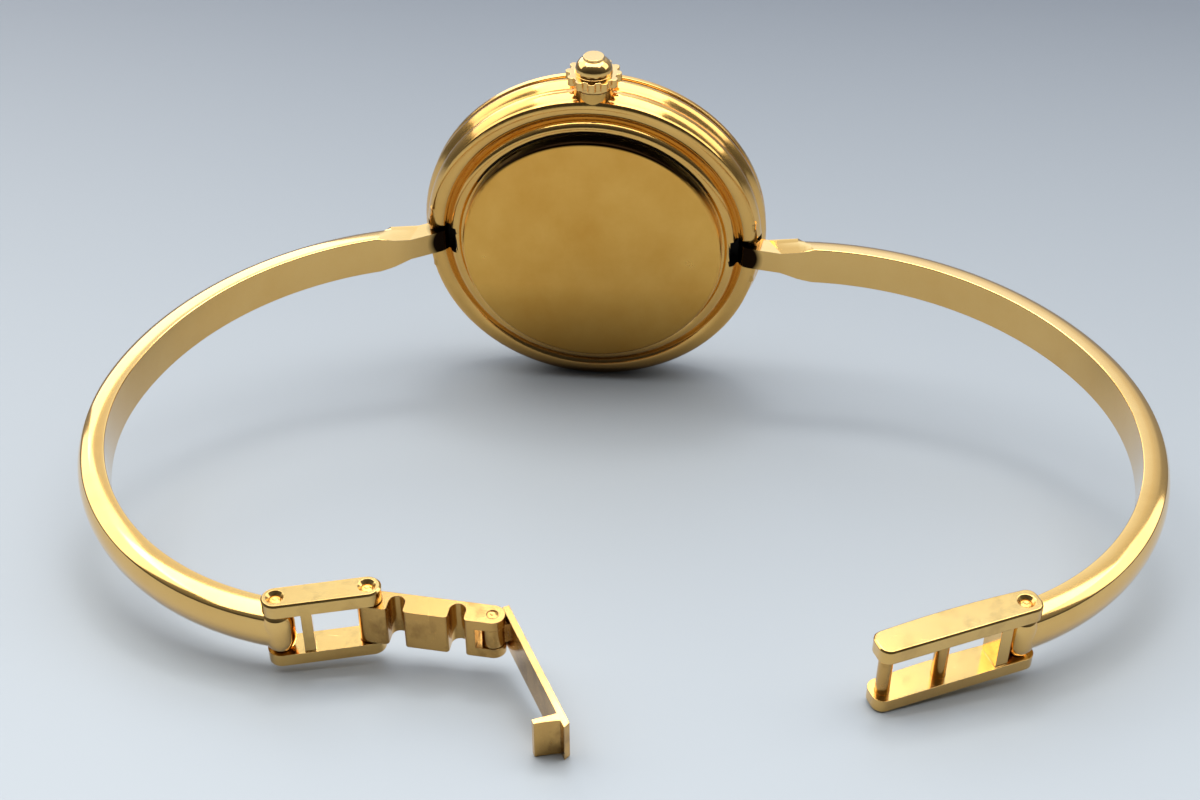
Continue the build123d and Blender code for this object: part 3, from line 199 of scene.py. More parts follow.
class TreeMaker:
    """Adds nodes to one node tree and links them."""

    def __init__(self, tree: bpy.types.NodeTree) -> None:
        """Take the node tree."""
        self.tree = tree

    def node(self, kind: str, **values: object) -> bpy.types.Node:
        """Add a node and set some of its own values.

        Args:
            kind: The node's type.
            **values: Its values by name.

        Returns:
            The node.
        """
        made = self.tree.nodes.new(kind)
        for key, value in values.items():
            setattr(made, key, value)
        return made

    def feed(self, value: Socket | Vector | Paint | float, end: Socket) -> None:
        """Link a socket to an input, or set the input to a plain value.

        Args:
            value: The socket or the value.
            end: The input.
        """
        if isinstance(value, Socket):
            self.tree.links.new(value, end)
        else:
            end.default_value = value

    def object_place(self) -> Socket:
        """Give the object's own coordinates."""
        return self.node("ShaderNodeTexCoord").outputs["Object"]

    def noise(
        self, scale: float, detail: float, rough: float, stretch: Place = (1.0, 1.0, 1.0)
    ) -> Socket:
        """Give a noise over the object.

        Args:
            scale: Its patches on a metre.
            detail: Its number of finer layers.
            rough: How strong the finer layers are.
            stretch: What the coordinates are multiplied by along each axis.

        Returns:
            The noise, from 0 to 1.
        """
        mapping = self.node("ShaderNodeMapping")
        self.feed(stretch, mapping.inputs["Scale"])
        self.feed(self.object_place(), mapping.inputs["Vector"])
        made = self.node("ShaderNodeTexNoise")
        self.feed(scale, made.inputs["Scale"])
        self.feed(detail, made.inputs["Detail"])
        self.feed(rough, made.inputs["Roughness"])
        self.feed(mapping.outputs["Vector"], made.inputs["Vector"])
        return made.outputs["Fac"]

    def remap(
        self, value: Socket, low: float = 0.0, high: float = 1.0,
        to_low: float = 0.0, to_high: float = 1.0,
    ) -> Socket:
        """Move a value from one range to another and clamp it there.

        Args:
            value: The value.
            low: What becomes to_low.
            high: What becomes to_high.
            to_low: The start of the new range.
            to_high: The end of the new range.

        Returns:
            The moved value.
        """
        made = self.node("ShaderNodeMapRange")
        self.feed(low, made.inputs["From Min"])
        self.feed(high, made.inputs["From Max"])
        self.feed(to_low, made.inputs["To Min"])
        self.feed(to_high, made.inputs["To Max"])
        self.feed(value, made.inputs["Value"])
        return made.outputs["Result"]

    def work(
        self, operation: str, first: Socket, second: Socket | Vector, kind: str = NUMBERS
    ) -> Socket:
        """Work out one value from two numbers or two vectors.

        Args:
            operation: The node's operation.
            first: The first number or vector.
            second: The second number or vector.
            kind: The node's type, for numbers or for vectors.

        Returns:
            The result.
        """
        made = self.node(kind, operation=operation)
        self.feed(first, made.inputs[0])
        self.feed(second, made.inputs[1])
        return made.outputs["Value"]


class GroupMaker(TreeMaker):
    """Builds one shader node group."""

    def __init__(self, name: str, takes: dict[str, float], gives: Sequence[str]) -> None:
        """Start a group with its sockets.

        Args:
            name: The group's name.
            takes: Its inputs, with their usual values.
            gives: Its outputs.
        """
        super().__init__(bpy.data.node_groups.new(name, "ShaderNodeTree"))
        self.entry = self.node("NodeGroupInput")
        self.exit = self.node("NodeGroupOutput")
        kind = "NodeSocketFloat"
        for taken, value in takes.items():
            socket = self.tree.interface.new_socket(name=taken, in_out="INPUT", socket_type=kind)
            socket.default_value = value
        for given in gives:
            self.tree.interface.new_socket(name=given, in_out="OUTPUT", socket_type=kind)


def build_edge_wear_group() -> ShaderTree:
    """Build the mask of the worn edges, broken up by noise.

    Returns:
        A group with Width and Amount in, and Mask out.
    """
    maker = GroupMaker("edge_wear", {"Width": 0.00012, "Amount": 0.5}, ("Mask",))
    soft = maker.node("ShaderNodeBevel", samples=4)
    maker.feed(maker.entry.outputs["Width"], soft.inputs["Radius"])
    face = maker.node("ShaderNodeNewGeometry")
    bend = maker.work("DOT_PRODUCT", soft.outputs["Normal"], face.outputs["Normal"], VECTORS)
    edge = maker.remap(bend, low=0.995, high=0.86)
    patches = maker.noise(scale=1400.0, detail=4.0, rough=0.6)
    mask = maker.work("MULTIPLY", edge, maker.remap(patches, low=0.40, high=0.62))
    scaled = maker.work("MULTIPLY", mask, maker.entry.outputs["Amount"])
    maker.feed(scaled, maker.exit.inputs["Mask"])
    return maker.tree


HAIRLINE_STRETCHES: tuple[Place, ...] = (
    (9000.0, 500.0, 900.0), (700.0, 8000.0, 1400.0), (2600.0, 1900.0, 9000.0),
)
SMEAR_STRETCH: Place = (1.0, 1.4, 0.8)
STAIN_STRETCH: Place = (1.3, 1.0, 0.9)
SATIN_STRETCH: Place = (14000.0, 1500.0, 1800.0)


def build_handling_group() -> ShaderTree:
    """Build the marks of use on a polished metal: hairlines, smears and stains.

    Returns:
        A group with masks for Hairlines, Smears and Stains.
    """
    maker = GroupMaker(
        "handling_marks",
        {"Hairline Amount": 0.5, "Stain Amount": 0.0},
        ("Hairlines", "Smears", "Stains"),
    )
    lines = []
    for stretch in HAIRLINE_STRETCHES:
        thin = maker.noise(scale=1.0, detail=3.0, rough=0.7, stretch=stretch)
        lines.append(maker.remap(thin, low=0.66, high=0.74))
    hairlines = reduce(partial(maker.work, "MAXIMUM"), lines)
    smears = maker.noise(scale=210.0, detail=5.0, rough=0.62, stretch=SMEAR_STRETCH)
    spots = maker.noise(scale=520.0, detail=4.0, rough=0.6, stretch=STAIN_STRETCH)
    stains = maker.remap(spots, low=0.52, high=0.66)
    for mark, name, amount in (
        (hairlines, "Hairlines", "Hairline Amount"), (stains, "Stains", "Stain Amount")
    ):
        scaled = maker.work("MULTIPLY", mark, maker.entry.outputs[amount])
        maker.feed(scaled, maker.exit.inputs[name])
    maker.feed(maker.remap(smears, low=0.26, high=0.84), maker.exit.inputs["Smears"])
    return maker.tree


def build_satin_group() -> ShaderTree:
    """Build the fine even grain of a satin or brushed metal.

    Returns:
        A group with Scale in, and Grain out.
    """
    maker = GroupMaker("satin_grain", {"Scale": 1.0}, ("Grain",))
    fine = maker.noise(scale=9000.0, detail=2.0, rough=0.6)
    brushed = maker.noise(scale=1.0, detail=3.0, rough=0.6, stretch=SATIN_STRETCH)
    mixed = maker.work("ADD", fine, brushed)
    grain = maker.work("MULTIPLY", mixed, maker.entry.outputs["Scale"])
    maker.feed(grain, maker.exit.inputs["Grain"])
    return maker.tree


@dataclass
class ShaderLibrary:
    """The shared shader groups of the watch."""

    edge_wear: ShaderTree = field(default_factory=build_edge_wear_group)
    handling: ShaderTree = field(default_factory=build_handling_group)
    satin: ShaderTree = field(default_factory=build_satin_group)


@dataclass(frozen=True)
class PaintedShade:
    """Painted shade that follows the distance to the nearest of some points, in metres."""

    points: tuple[Vector, ...]
    none_at: float
    full_at: float


class MaterialMaker(TreeMaker):
    """Builds one material round a Principled shader."""

    def __init__(self, name: str) -> None:
        """Start a material.

        Args:
            name: The material's name.
        """
        self.material = bpy.data.materials.new(name)
        self.material.use_nodes = True
        super().__init__(self.material.node_tree)
        self.shader = next(n for n in self.tree.nodes if n.type == "BSDF_PRINCIPLED")

    def finish(self, value: Socket | Paint | float, name: str) -> None:
        """Feed an input of the shader.

        Args:
            value: The socket or the plain value.
            name: The input's name.
        """
        self.feed(value, self.shader.inputs[name])

    def group(self, tree: ShaderTree, **values: float) -> bpy.types.Node:
        """Place a shared group.

        Args:
            tree: The group.
            **values: What its inputs are set to, with an underscore for a space.

        Returns:
            The group's node.
        """
        made = self.node("ShaderNodeGroup", node_tree=tree)
        for key, value in values.items():
            self.feed(value, made.inputs[key.replace("_", " ")])
        return made

    def mix(self, mask: Socket, first: Socket | Paint, second: Paint) -> Socket:
        """Mix two colours.

        Args:
            mask: The share of the second colour.
            first: The first colour.
            second: The second colour.

        Returns:
            The mixed colour.
        """
        made = self.node("ShaderNodeMix", data_type="RGBA")
        self.feed(mask, made.inputs["Factor"])
        self.feed(first, made.inputs["A"])
        self.feed(second, made.inputs["B"])
        return made.outputs["Result"]

    def darkness(self, painted_shade: PaintedShade) -> Socket:
        """Give the mask of some painted shade.

        Args:
            painted_shade: Where it is.

        Returns:
            The mask.
        """
        place = self.object_place()
        apart = [self.work("DISTANCE", place, point, VECTORS) for point in painted_shade.points]
        nearest = reduce(partial(self.work, "MINIMUM"), apart)
        return self.remap(nearest, low=painted_shade.none_at, high=painted_shade.full_at)

    def along(self, start: Vector, way: Vector, length: float) -> Socket:
        """Give how far a place on the object is along a line, from 0 to 1.

        Args:
            start: Where the line starts, in the object's own metres.
            way: Where it leads, as a direction of length one.
            length: Its length in metres.

        Returns:
            The share of the line, clamped at its ends.
        """
        level = self.work("DOT_PRODUCT", self.object_place(), way, VECTORS)
        return self.remap(level, low=start.dot(way), high=start.dot(way) + length)

    def bump(self, height: Socket, depth: float) -> None:
        """Feed a grain to the shader's normal.

        Args:
            height: The grain.
            depth: What its height is multiplied by, in metres.
        """
        made = self.node("ShaderNodeBump")
        self.feed(depth, made.inputs["Distance"])
        self.feed(1.0, made.inputs["Strength"])
        self.feed(height, made.inputs["Height"])
        self.finish(made.outputs["Normal"], "Normal")


# Finishes

STAIN_BROWN: Colour = (146, 106, 56)
# Painted shade: the brown that surfaces grow towards the table.
PAINTED_FOOT_SHADE: Colour = (70, 44, 16)
# Painted shade: the near-black at the arm tab ends and over the top of the back.
PAINTED_SHADE_BLACK: Colour = (26, 15, 6)
# Painted shade: the share of that brown at the table.
FOOT_SHADE_SHARE = 0.85
COAT_ROUGH = 0.08
HAIRLINE_ROUGH = 0.16
WEAR_ROUGH = 0.22
GRAIN_DEPTH = 0.000004
DOWNWARDS = Vector((0.0, 0.0, -1.0))


@dataclass(frozen=True)
class SurfaceFinish:
    """A metal, plastic or rubber with its colours, its polish and its wear.

    Up to a height over the table, in metres, it grows darker towards the table as painted shade,
    and it may have a patch of painted shade near some points.
    """

    name: str
    slot: str
    colour: Colour
    deep: Colour
    rough: float
    grain: float
    rough_spread: float = 0.10
    metallic: float = 1.0
    coat: float = 0.0
    hairlines: float = 0.0
    stains: float = 0.0
    wear: float = 0.0
    bare: Colour | None = None
    # Painted shade: the height up to which it darkens towards the table, and the shade near some
    # points.
    painted_shade_height: float = 0.0
    painted_shade: PaintedShade | None = None

    def build(self, library: ShaderLibrary) -> Material:
        """Build the material.

        Args:
            library: The shared shader groups.

        Returns:
            The material.
        """
        maker = MaterialMaker(self.name)
        marks = maker.group(
            library.handling, Hairline_Amount=self.hairlines, Stain_Amount=self.stains
        ).outputs
        maker.finish(self.metallic, "Metallic")
        maker.finish(self.coat, "Coat Weight")
        maker.finish(COAT_ROUGH, "Coat Roughness")
        skin = maker.mix(marks["Smears"], linear(self.colour), linear(self.deep))
        skin = maker.mix(marks["Stains"], skin, linear(STAIN_BROWN))
        rough = maker.remap(
            marks["Smears"], to_low=self.rough, to_high=self.rough + self.rough_spread
        )
        lined = maker.remap(marks["Hairlines"], to_high=HAIRLINE_ROUGH)
        rough = maker.work("ADD", rough, lined)
        if self.bare is not None:
            wear = maker.group(library.edge_wear, Amount=self.wear).outputs["Mask"]
            skin = maker.mix(wear, skin, linear(self.bare))
            rough = maker.work("ADD", rough, maker.remap(wear, to_high=WEAR_ROUGH))
        # Painted shade: darker towards the table, up to the given height over it.
        if self.painted_shade_height > 0:
            down = maker.along(DOWNWARDS * -self.painted_shade_height, DOWNWARDS, self.painted_shade_height)
            skin = maker.mix(maker.remap(down, to_high=FOOT_SHADE_SHARE), skin, linear(PAINTED_FOOT_SHADE))
        # Painted shade near some points, with the coat taken away where it is dark.
        if self.painted_shade is not None:
            dark = maker.darkness(self.painted_shade)
            skin = maker.mix(dark, skin, linear(PAINTED_SHADE_BLACK))
            maker.finish(maker.remap(dark, to_low=self.coat, to_high=0.0), "Coat Weight")
        maker.finish(skin, "Base Color")
        maker.finish(rough, "Roughness")
        maker.bump(maker.group(library.satin, Scale=self.grain).outputs["Grain"], GRAIN_DEPTH)
        return maker.material


@dataclass(frozen=True)
class GlassFinish:
    """Clear mineral glass with faint smears."""

    name: str
    slot: str
    tint: Colour
    bending: float = 1.5
    smear_rough: float = 0.03

    def build(self, library: ShaderLibrary) -> Material:
        """Build the material.

        Args:
            library: The shared shader groups.

        Returns:
            The material.
        """
        maker = MaterialMaker(self.name)
        maker.finish(linear(self.tint), "Base Color")
        maker.finish(0.0, "Metallic")
        maker.finish(1.0, "Transmission Weight")
        maker.finish(self.bending, "IOR")
        smears = maker.group(library.handling).outputs["Smears"]
        maker.finish(maker.remap(smears, to_high=self.smear_rough), "Roughness")
        return maker.material


POLISHED_GOLD = SurfaceFinish(
    "polished_gold_plate", "gold_plate", (237, 193, 113), (228, 179, 95), rough=0.085,
    grain=0.0875, rough_spread=0.06, coat=0.8, hairlines=0.5, wear=0.35, bare=(220, 196, 150),
)
CASE_GOLD = SurfaceFinish(
    "case_wall_gold", "gold_plate", (234, 186, 102), (220, 166, 80), rough=0.13,
    grain=0.13125, rough_spread=0.08, coat=0.5, hairlines=0.4, wear=0.25, bare=(206, 176, 120),
)
DISC_GOLD = SurfaceFinish(
    "case_back_satin", "gold_satin", (240, 187, 95), (221, 161, 68), rough=0.26, grain=0.0
)
CLASP_GOLD = SurfaceFinish(
    "clasp_gold_plate", "gold_plate", (235, 194, 114), (214, 168, 90), rough=0.12, grain=0.175,
    rough_spread=0.09, coat=0.55, hairlines=0.8, stains=0.22, wear=0.85, bare=(156, 126, 84),
)
WORN_GOLD = SurfaceFinish(
    "worn_gold_plate", "worn_plate", (224, 180, 105), (184, 139, 75), rough=0.15, grain=0.21875,
    rough_spread=0.12, coat=0.15, hairlines=1.0, stains=0.55, wear=1.0, bare=(124, 98, 66),
)
PIN_GOLD = SurfaceFinish(
    "pin_plate", "pin_steel", (224, 178, 100), (190, 144, 74), rough=0.16, grain=0.21875,
    hairlines=0.6, wear=0.6, bare=(164, 150, 130),
)
MARKER_GOLD = SurfaceFinish(
    "marker_gold", "marker_gold", (246, 206, 132), (236, 192, 112), rough=0.12, grain=0.0875,
    rough_spread=0.05, hairlines=0.1, wear=0.1, bare=(230, 204, 150),
)
DIAL_WHITE = SurfaceFinish(
    "dial_lacquer", "dial_white", (240, 236, 224), (233, 228, 214),
    rough=0.28, grain=0.3, metallic=0.0,
)
GASKET_BLACK = SurfaceFinish(
    "gasket_rubber", "gasket_rubber", (34, 34, 35), (26, 26, 27),
    rough=0.62, grain=0.6, metallic=0.0,
)
RING_PLASTIC = SurfaceFinish(
    "ring_plastic", "ring_plastic", (226, 225, 218), (214, 212, 204),
    rough=0.45, grain=0.5, metallic=0.0,
)
MOVEMENT_BRASS = SurfaceFinish(
    "movement_brass", "movement_brass", (214, 186, 122), (198, 168, 102), rough=0.27, grain=0.6
)
MOVEMENT_STEEL = SurfaceFinish(
    "movement_steel", "movement_steel", (200, 200, 202), (180, 181, 184), rough=0.25, grain=0.6
)
BATTERY_STEEL = SurfaceFinish(
    "battery_steel", "battery_can", (214, 214, 214), (196, 197, 199), rough=0.22, grain=0.5
)
BOARD_GREEN = SurfaceFinish(
    "circuit_board", "board_green", (28, 96, 60), (20, 80, 48),
    rough=0.40, grain=0.4, metallic=0.0,
)
CHIP_BLACK = SurfaceFinish(
    "chip_resin", "chip_black", (28, 28, 30), (20, 20, 22),
    rough=0.50, grain=0.7, metallic=0.0,
)
CAN_METAL = SurfaceFinish(
    "crystal_can", "can_metal", (212, 213, 216), (198, 199, 203), rough=0.20, grain=0.3
)
COPPER = SurfaceFinish(
    "winding_copper", "copper_winding", (196, 108, 62), (170, 86, 46), rough=0.30, grain=0.9
)
# Near-black for the slot walls, as tarnish and painted shade, and for the ring faces over the
# back's top, as painted shade.
SLOT_SHADE_AND_TARNISH = SurfaceFinish(
    "slot_shade_and_tarnish", "gold_plate", (34, 24, 12), (24, 16, 8),
    rough=0.55, grain=0.6, metallic=0.4,
)
MINERAL_GLASS = GlassFinish("mineral_glass", "mineral_glass", (250, 252, 253))

Finish = SurfaceFinish | GlassFinish


class FinishShelf:
    """Builds each finish once and puts it on pieces."""

    def __init__(self) -> None:
        """Start with the shared groups and no finish built."""
        self.library = ShaderLibrary()
        self.made: dict[str, Material] = {}

    def material(self, finish: Finish) -> Material:
        """Give a finish's material, built at its first use."""
        if finish.name not in self.made:
            self.made[finish.name] = finish.build(self.library)
        return self.made[finish.name]

    def dress(self, piece: Piece, finish: Finish) -> None:
        """Put a finish on a new piece.

        Args:
            piece: The new piece.
            finish: The finish.
        """
        piece.data.materials.clear()
        piece.data.materials.append(self.material(finish))

    def dress_node(self, node: str, finish: Finish) -> None:
        """Put a finish on a node of the frame.

        Args:
            node: The node's name.
            finish: The finish.
        """
        holder = frame["nodes"][node]
        if not holder.material_slots:
            holder.data.materials.append(None)
        for place in holder.material_slots:
            place.material = self.material(finish)


# Mesh helpers, with lengths in millimetres and angles in degrees

NEW_DOUBLES = 0.0004
COPY_DOUBLES = 0.0005
CUT_DOUBLES = 0.0001
FLAT_ANGLE = 0.5
SHARP_ANGLE = 30.0
SOFT_EDGE_FACES = 3


def stand(name: str, data: bpy.types.ID) -> Piece:
    """Put a mesh, a light or a camera into the scene.

    Args:
        name: The new object's name.
        data: The mesh, the light or the camera.

    Returns:
        The new object.
    """
    holder = bpy.data.objects.new(name, data)
    bpy.context.scene.collection.objects.link(holder)
    return holder


def settle(name: str, mesh: BMesh, sharp: float = SHARP_ANGLE) -> Piece:
    """Turn a bmesh in scene metres into a smooth object at the origin.

    Args:
        name: The new object's name.
        mesh: The bmesh, which is freed.
        sharp: Angle above which an edge stays sharp.

    Returns:
        The new object.
    """
    bmesh.ops.remove_doubles(mesh, verts=mesh.verts, dist=NEW_DOUBLES * MM)
    bmesh.ops.recalc_face_normals(mesh, faces=mesh.faces)
    data = bpy.data.meshes.new(name)
    mesh.to_mesh(data)
    mesh.free()
    data.polygons.foreach_set("use_smooth", [True] * len(data.polygons))
    data.set_sharp_from_angle(angle=math.radians(sharp))
    return stand(name, data)


def soften(piece: Piece, width: float) -> None:
    """Round the sharp edges of a piece.

    Args:
        piece: The piece.
        width: Width of the rounding.
    """
    bevel = piece.modifiers.new("soft_edges", "BEVEL")
    bevel.width = width * MM
    bevel.segments = SOFT_EDGE_FACES
    bevel.limit_method = "ANGLE"
    bevel.angle_limit = math.radians(SHARP_ANGLE)
    bevel.use_clamp_overlap = True
    even = piece.modifiers.new("even_shading", "WEIGHTED_NORMAL")
    even.keep_sharp = True


def lathe(mesh: BMesh, profile: Sequence[Pair], middle: Pair, steps: int) -> None:
    """Turn a profile about an axis along z.

    Args:
        mesh: The bmesh that takes the turned shape.
        profile: Points as radius and height, from axis to axis.
        middle: Where the axis stands, in x and y.
        steps: Faces round the turn.
    """
    x, y = middle
    line = [mesh.verts.new((x + radius, y, height)) for radius, height in profile]
    edges = [mesh.edges.new(pair) for pair in zip(line, line[1:])]
    bmesh.ops.spin(
        mesh, geom=line + edges, cent=(x, y, 0.0), axis=(0.0, 0.0, 1.0),
        angle=math.tau, steps=steps, use_merge=True, use_duplicate=False,
    )


def both_ends(profile: Sequence[Pair]) -> list[Pair]:
    """Mirror the upper half of a lathe's profile, from the lower end to the upper one."""
    return [(radius, -height) for radius, height in reversed(profile)] + list(profile)


def cut_across(
    mesh: BMesh, faces: Sequence[BMFace], place: Vector, way: Vector, play: float
) -> None:
    """Cut some faces with a plane.

    Args:
        mesh: The bmesh.
        faces: The faces.
        place: A point of the plane.
        way: The plane's direction.
        play: Distance at which a corner counts as on the plane, in the mesh's unit.
    """
    edges = {edge for face in faces for edge in face.edges}
    verts = {vert for face in faces for vert in face.verts}
    bmesh.ops.bisect_plane(
        mesh, geom=list(verts) + list(edges) + list(faces), dist=play,
        plane_co=place, plane_no=way,
    )


def fit_piece(piece: Piece, body: str, nodes: Sequence[str]) -> None:
    """Let a new piece ride on a body and stand for nodes of the frame."""
    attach(piece, body)
    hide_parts(*nodes)
    log.info("%s rides on %s and replaces %s", piece.name, body, ", ".join(nodes))


@dataclass(frozen=True)
class CopiedPiece:
    """A piece that takes a node's own mesh and gets soft edges and a finish."""

    node: str
    body: str
    finish: Finish
    edge: float = 0.0
    reshape: Callable[[BMesh], None] | None = None

    def build(self, shelf: FinishShelf) -> Piece:
        """Copy the mesh with its loose triangles merged, and finish it.

        Args:
            shelf: What holds the finishes.

        Returns:
            The piece.
        """
        mesh = bmesh.new()
        mesh.from_mesh(frame["nodes"][self.node].data)
        bmesh.ops.remove_doubles(mesh, verts=mesh.verts, dist=COPY_DOUBLES * MM)
        bmesh.ops.dissolve_limit(
            mesh, angle_limit=math.radians(FLAT_ANGLE), verts=mesh.verts, edges=mesh.edges
        )
        if self.reshape is not None:
            self.reshape(mesh)
        piece = settle(self.node + "_finished", mesh)
        if self.edge > 0:
            soften(piece, self.edge)
        shelf.dress(piece, self.finish)
        fit_piece(piece, self.body, [self.node])
        return piece


@dataclass
class Assembly:
    """A part of the watch, with the finishes and the frames that it is built with."""

    shelf: FinishShelf
    benches: WatchBenches


@dataclass
class ClaspPieces(Assembly):
    """The folding clasp: link, notched bar, latch plate, frame and its bars."""

    edge: float = 0.07

    def build(self) -> None:
        """Build every piece of the clasp and dress it."""
        for piece in (
            CopiedPiece("link", "link", CLASP_GOLD, self.edge),
            CopiedPiece("notched_bar", "notched_bar", WORN_GOLD, self.edge),
            CopiedPiece("latch_plate", "latch", WORN_GOLD, self.edge / 2),
            CopiedPiece("right_frame", "right_frame", CLASP_GOLD, self.edge),
            CopiedPiece("frame_bars", "right_frame", WORN_GOLD),
        ):
            piece.build(self.shelf)


@dataclass
class PinPieces(Assembly):
    """The riveted pins of the clasp, with domed heads down in their sinks.

    Each share of the head is of the radius, and of the rise or the dimple.
    """

    radius: float = 0.35
    long_half: float = 2.38
    short_half: float = 1.47
    head_start: float = 0.05
    head_rise: float = 0.07
    head_shares: tuple[Pair, ...] = ((0.93, 0.0), (0.70, 0.65), (0.45, 1.0))
    dimple: float = 0.05
    dimple_shares: tuple[Pair, ...] = ((0.22, 0.6), (0.0, 1.0))
    faces: int = 32

    def build(self) -> None:
        """Build the four pins and dress them."""
        self.turn("left_end_pin", "link", self.benches.link, self.long_half)
        self.turn("link_pin", "link", self.benches.link_far_end, self.long_half)
        self.turn("latch_pin", "notched_bar", self.benches.latch, self.short_half)
        self.turn("right_end_pin", "right_frame", self.benches.right_frame, self.long_half)

    def turn(self, node: str, body: str, bench: Bench, half: float) -> None:
        """Turn one pin.

        Args:
            node: The node that the pin stands for.
            body: The body that it rides on.
            bench: The frame whose z axis is the pin's axis.
            half: Half of its length.
        """
        top = half + self.head_rise
        upper = [(self.radius, half - self.head_start)]
        upper += [(self.radius * out, half + self.head_rise * up) for out, up in self.head_shares]
        upper += [(self.radius * out, top - self.dimple * down) for out, down in self.dimple_shares]
        mesh = bmesh.new()
        lathe(mesh, both_ends(upper), (0.0, 0.0), self.faces)
        bmesh.ops.transform(mesh, matrix=bench.matrix, verts=mesh.verts)
        piece = settle(node + "_finished", mesh)
        self.shelf.dress(piece, PIN_GOLD)
        fit_piece(piece, body, [node])


@dataclass
class ArmPieces(Assembly):
    """The two bangle arms: a crowned bar on two arcs, a narrowed tab and a knuckle.

    Each section point is outward, height, rounding and faces of the rounding. The
    knuckle's shares are of its radius and of half its height. Angles are in degrees.
    """

    knuckle: Pair
    thickness: float = 1.95
    half_height: float = 1.5
    half_section: tuple[tuple[float, float, float, int], ...] = (
        (0.0, 1.5, 0.09, 7),
        (0.8, 1.45, 0.25, 3),
        (1.27, 1.33, 0.18, 3),
        (1.6, 1.14, 0.06, 3),
        (1.84, 0.66, 0.24, 3),
        (1.96, 0.0, 0.30, 4),
    )
    inner_x: float = 14.3
    widest_y: float = -22.5
    lower_centre: float = -3.0
    upper_centre: float = -7.4
    lower_sweep: float = 92.51
    upper_sweep: float = 63.45
    lower_steps: int = 64
    upper_steps: int = 52
    tab_radius: float = 0.94
    tab_turns: tuple[float, ...] = (0.0, 25.0, 50.0, 72.0, 85.0)
    tab_half: float = 0.875
    shoulder_height: float = 1.14
    square_run: float = 0.35
    tab_neck: float = 1.3
    tab_shoulder: float = 3.335
    tab_reach: float = -9.0
    knuckle_half: float = 1.49
    knuckle_shares: tuple[Pair, ...] = (
        (1.0, 0.40), (0.95, 0.62), (0.84, 0.82), (0.68, 0.94), (0.55, 1.0), (0.0, 1.0),
    )
    knuckle_faces: int = 48
    sharp: float = 15.0
    # Painted shade on the tab ends inside the case slots: how far in from each hinge it centres,
    # and the distances where it starts and is full.
    tab_shade_inset: float = 0.9
    tab_shade_none: float = 1.85
    tab_shade_full: float = 1.35

    def build(self) -> None:
        """Build both arms and dress them."""
        left, right = self.benches.left_arm, self.benches.right_arm
        # Painted shade on the tab ends, where they sit in the case slots.
        hinges = (left.point(self.tab_shade_inset, 0.0), right.point(-self.tab_shade_inset, 0.0))
        painted_shade = PaintedShade(hinges, self.tab_shade_none * MM, self.tab_shade_full * MM)
        finish = replace(POLISHED_GOLD, name="arm_gold_plate", painted_shade=painted_shade)
        self.shape("left_arm", Hand.LEFT, left, finish)
        self.shape("right_arm", Hand.RIGHT, right, finish)

    def shape(self, node: str, hand: Hand, bench: Bench, finish: Finish) -> None:
        """Shape one arm, drawn as a right-hand one and mirrored for the left.

        Args:
            node: The node that the arm stands for, and its body.
            hand: The side of the case.
            bench: The arm's frame.
            finish: Its finish.
        """
        mesh = bmesh.new()
        ring = self.draw_section(mesh)
        self.sweep(mesh, ring, self.lower_centre, -1.0, self.lower_sweep, self.lower_steps)
        last = self.sweep(
            mesh, ring, self.upper_centre, 1.0, self.upper_sweep, self.upper_steps
        )
        self.add_tab(mesh, last)
        holes = [edge for edge in mesh.edges if edge.is_boundary]
        bmesh.ops.holes_fill(mesh, edges=holes)
        self.narrow_tab(mesh)
        self.add_knuckle(mesh)
        mirror = Matrix.Scale(float(hand.value), 4, Vector((1.0, 0.0, 0.0)))
        bmesh.ops.transform(mesh, matrix=bench.matrix @ mirror, verts=mesh.verts)
        piece = settle(node + "_finished", mesh, self.sharp)
        self.shelf.dress(piece, finish)
        fit_piece(piece, node, [node])

    def draw_section(self, mesh: BMesh) -> list[BMEdge]:
        """Draw the rounded section at the widest place of the bangle.

        Args:
            mesh: The bmesh that takes the section.

        Returns:
            The edges of the section.
        """
        lower_half = [(out, -up, turn, parts) for out, up, turn, parts in self.half_section]
        corners = list(self.half_section) + lower_half[-2::-1]
        verts = [
            mesh.verts.new((self.inner_x + out, self.widest_y, up)) for out, up, _, _ in corners
        ]
        mesh.faces.new(verts)
        for vert, (_, _, turn, parts) in zip(verts, corners):
            bmesh.ops.bevel(
                mesh, geom=[vert], offset=turn, offset_type="OFFSET", segments=parts,
                profile=0.5, affect="VERTICES", clamp_overlap=True, material=-1,
            )
        bmesh.ops.delete(mesh, geom=list(mesh.faces), context="FACES_ONLY")
        return list(mesh.edges)

    def sweep(
        self, mesh: BMesh, ring: list[BMEdge], centre: float,
        sense: float, degrees: float, steps: int,
    ) -> list[BMEdge]:
        """Sweep the section along one arc.

        Args:
            mesh: The bmesh of the arm.
            ring: The edges of the section.
            centre: The arc's centre along x.
            sense: The sense of the turn about z.
            degrees: The arc's angle.
            steps: Faces along the arc.

        Returns:
            The edges of the section at the arc's end.
        """
        verts = list({vert for edge in ring for vert in edge.verts})
        made = bmesh.ops.spin(
            mesh, geom=verts + ring, cent=(centre, self.widest_y, 0.0),
            axis=(0.0, 0.0, sense), angle=math.radians(degrees), steps=steps,
            use_merge=False, use_duplicate=False,
        )
        return [item for item in made["geom_last"] if isinstance(item, BMEdge)]

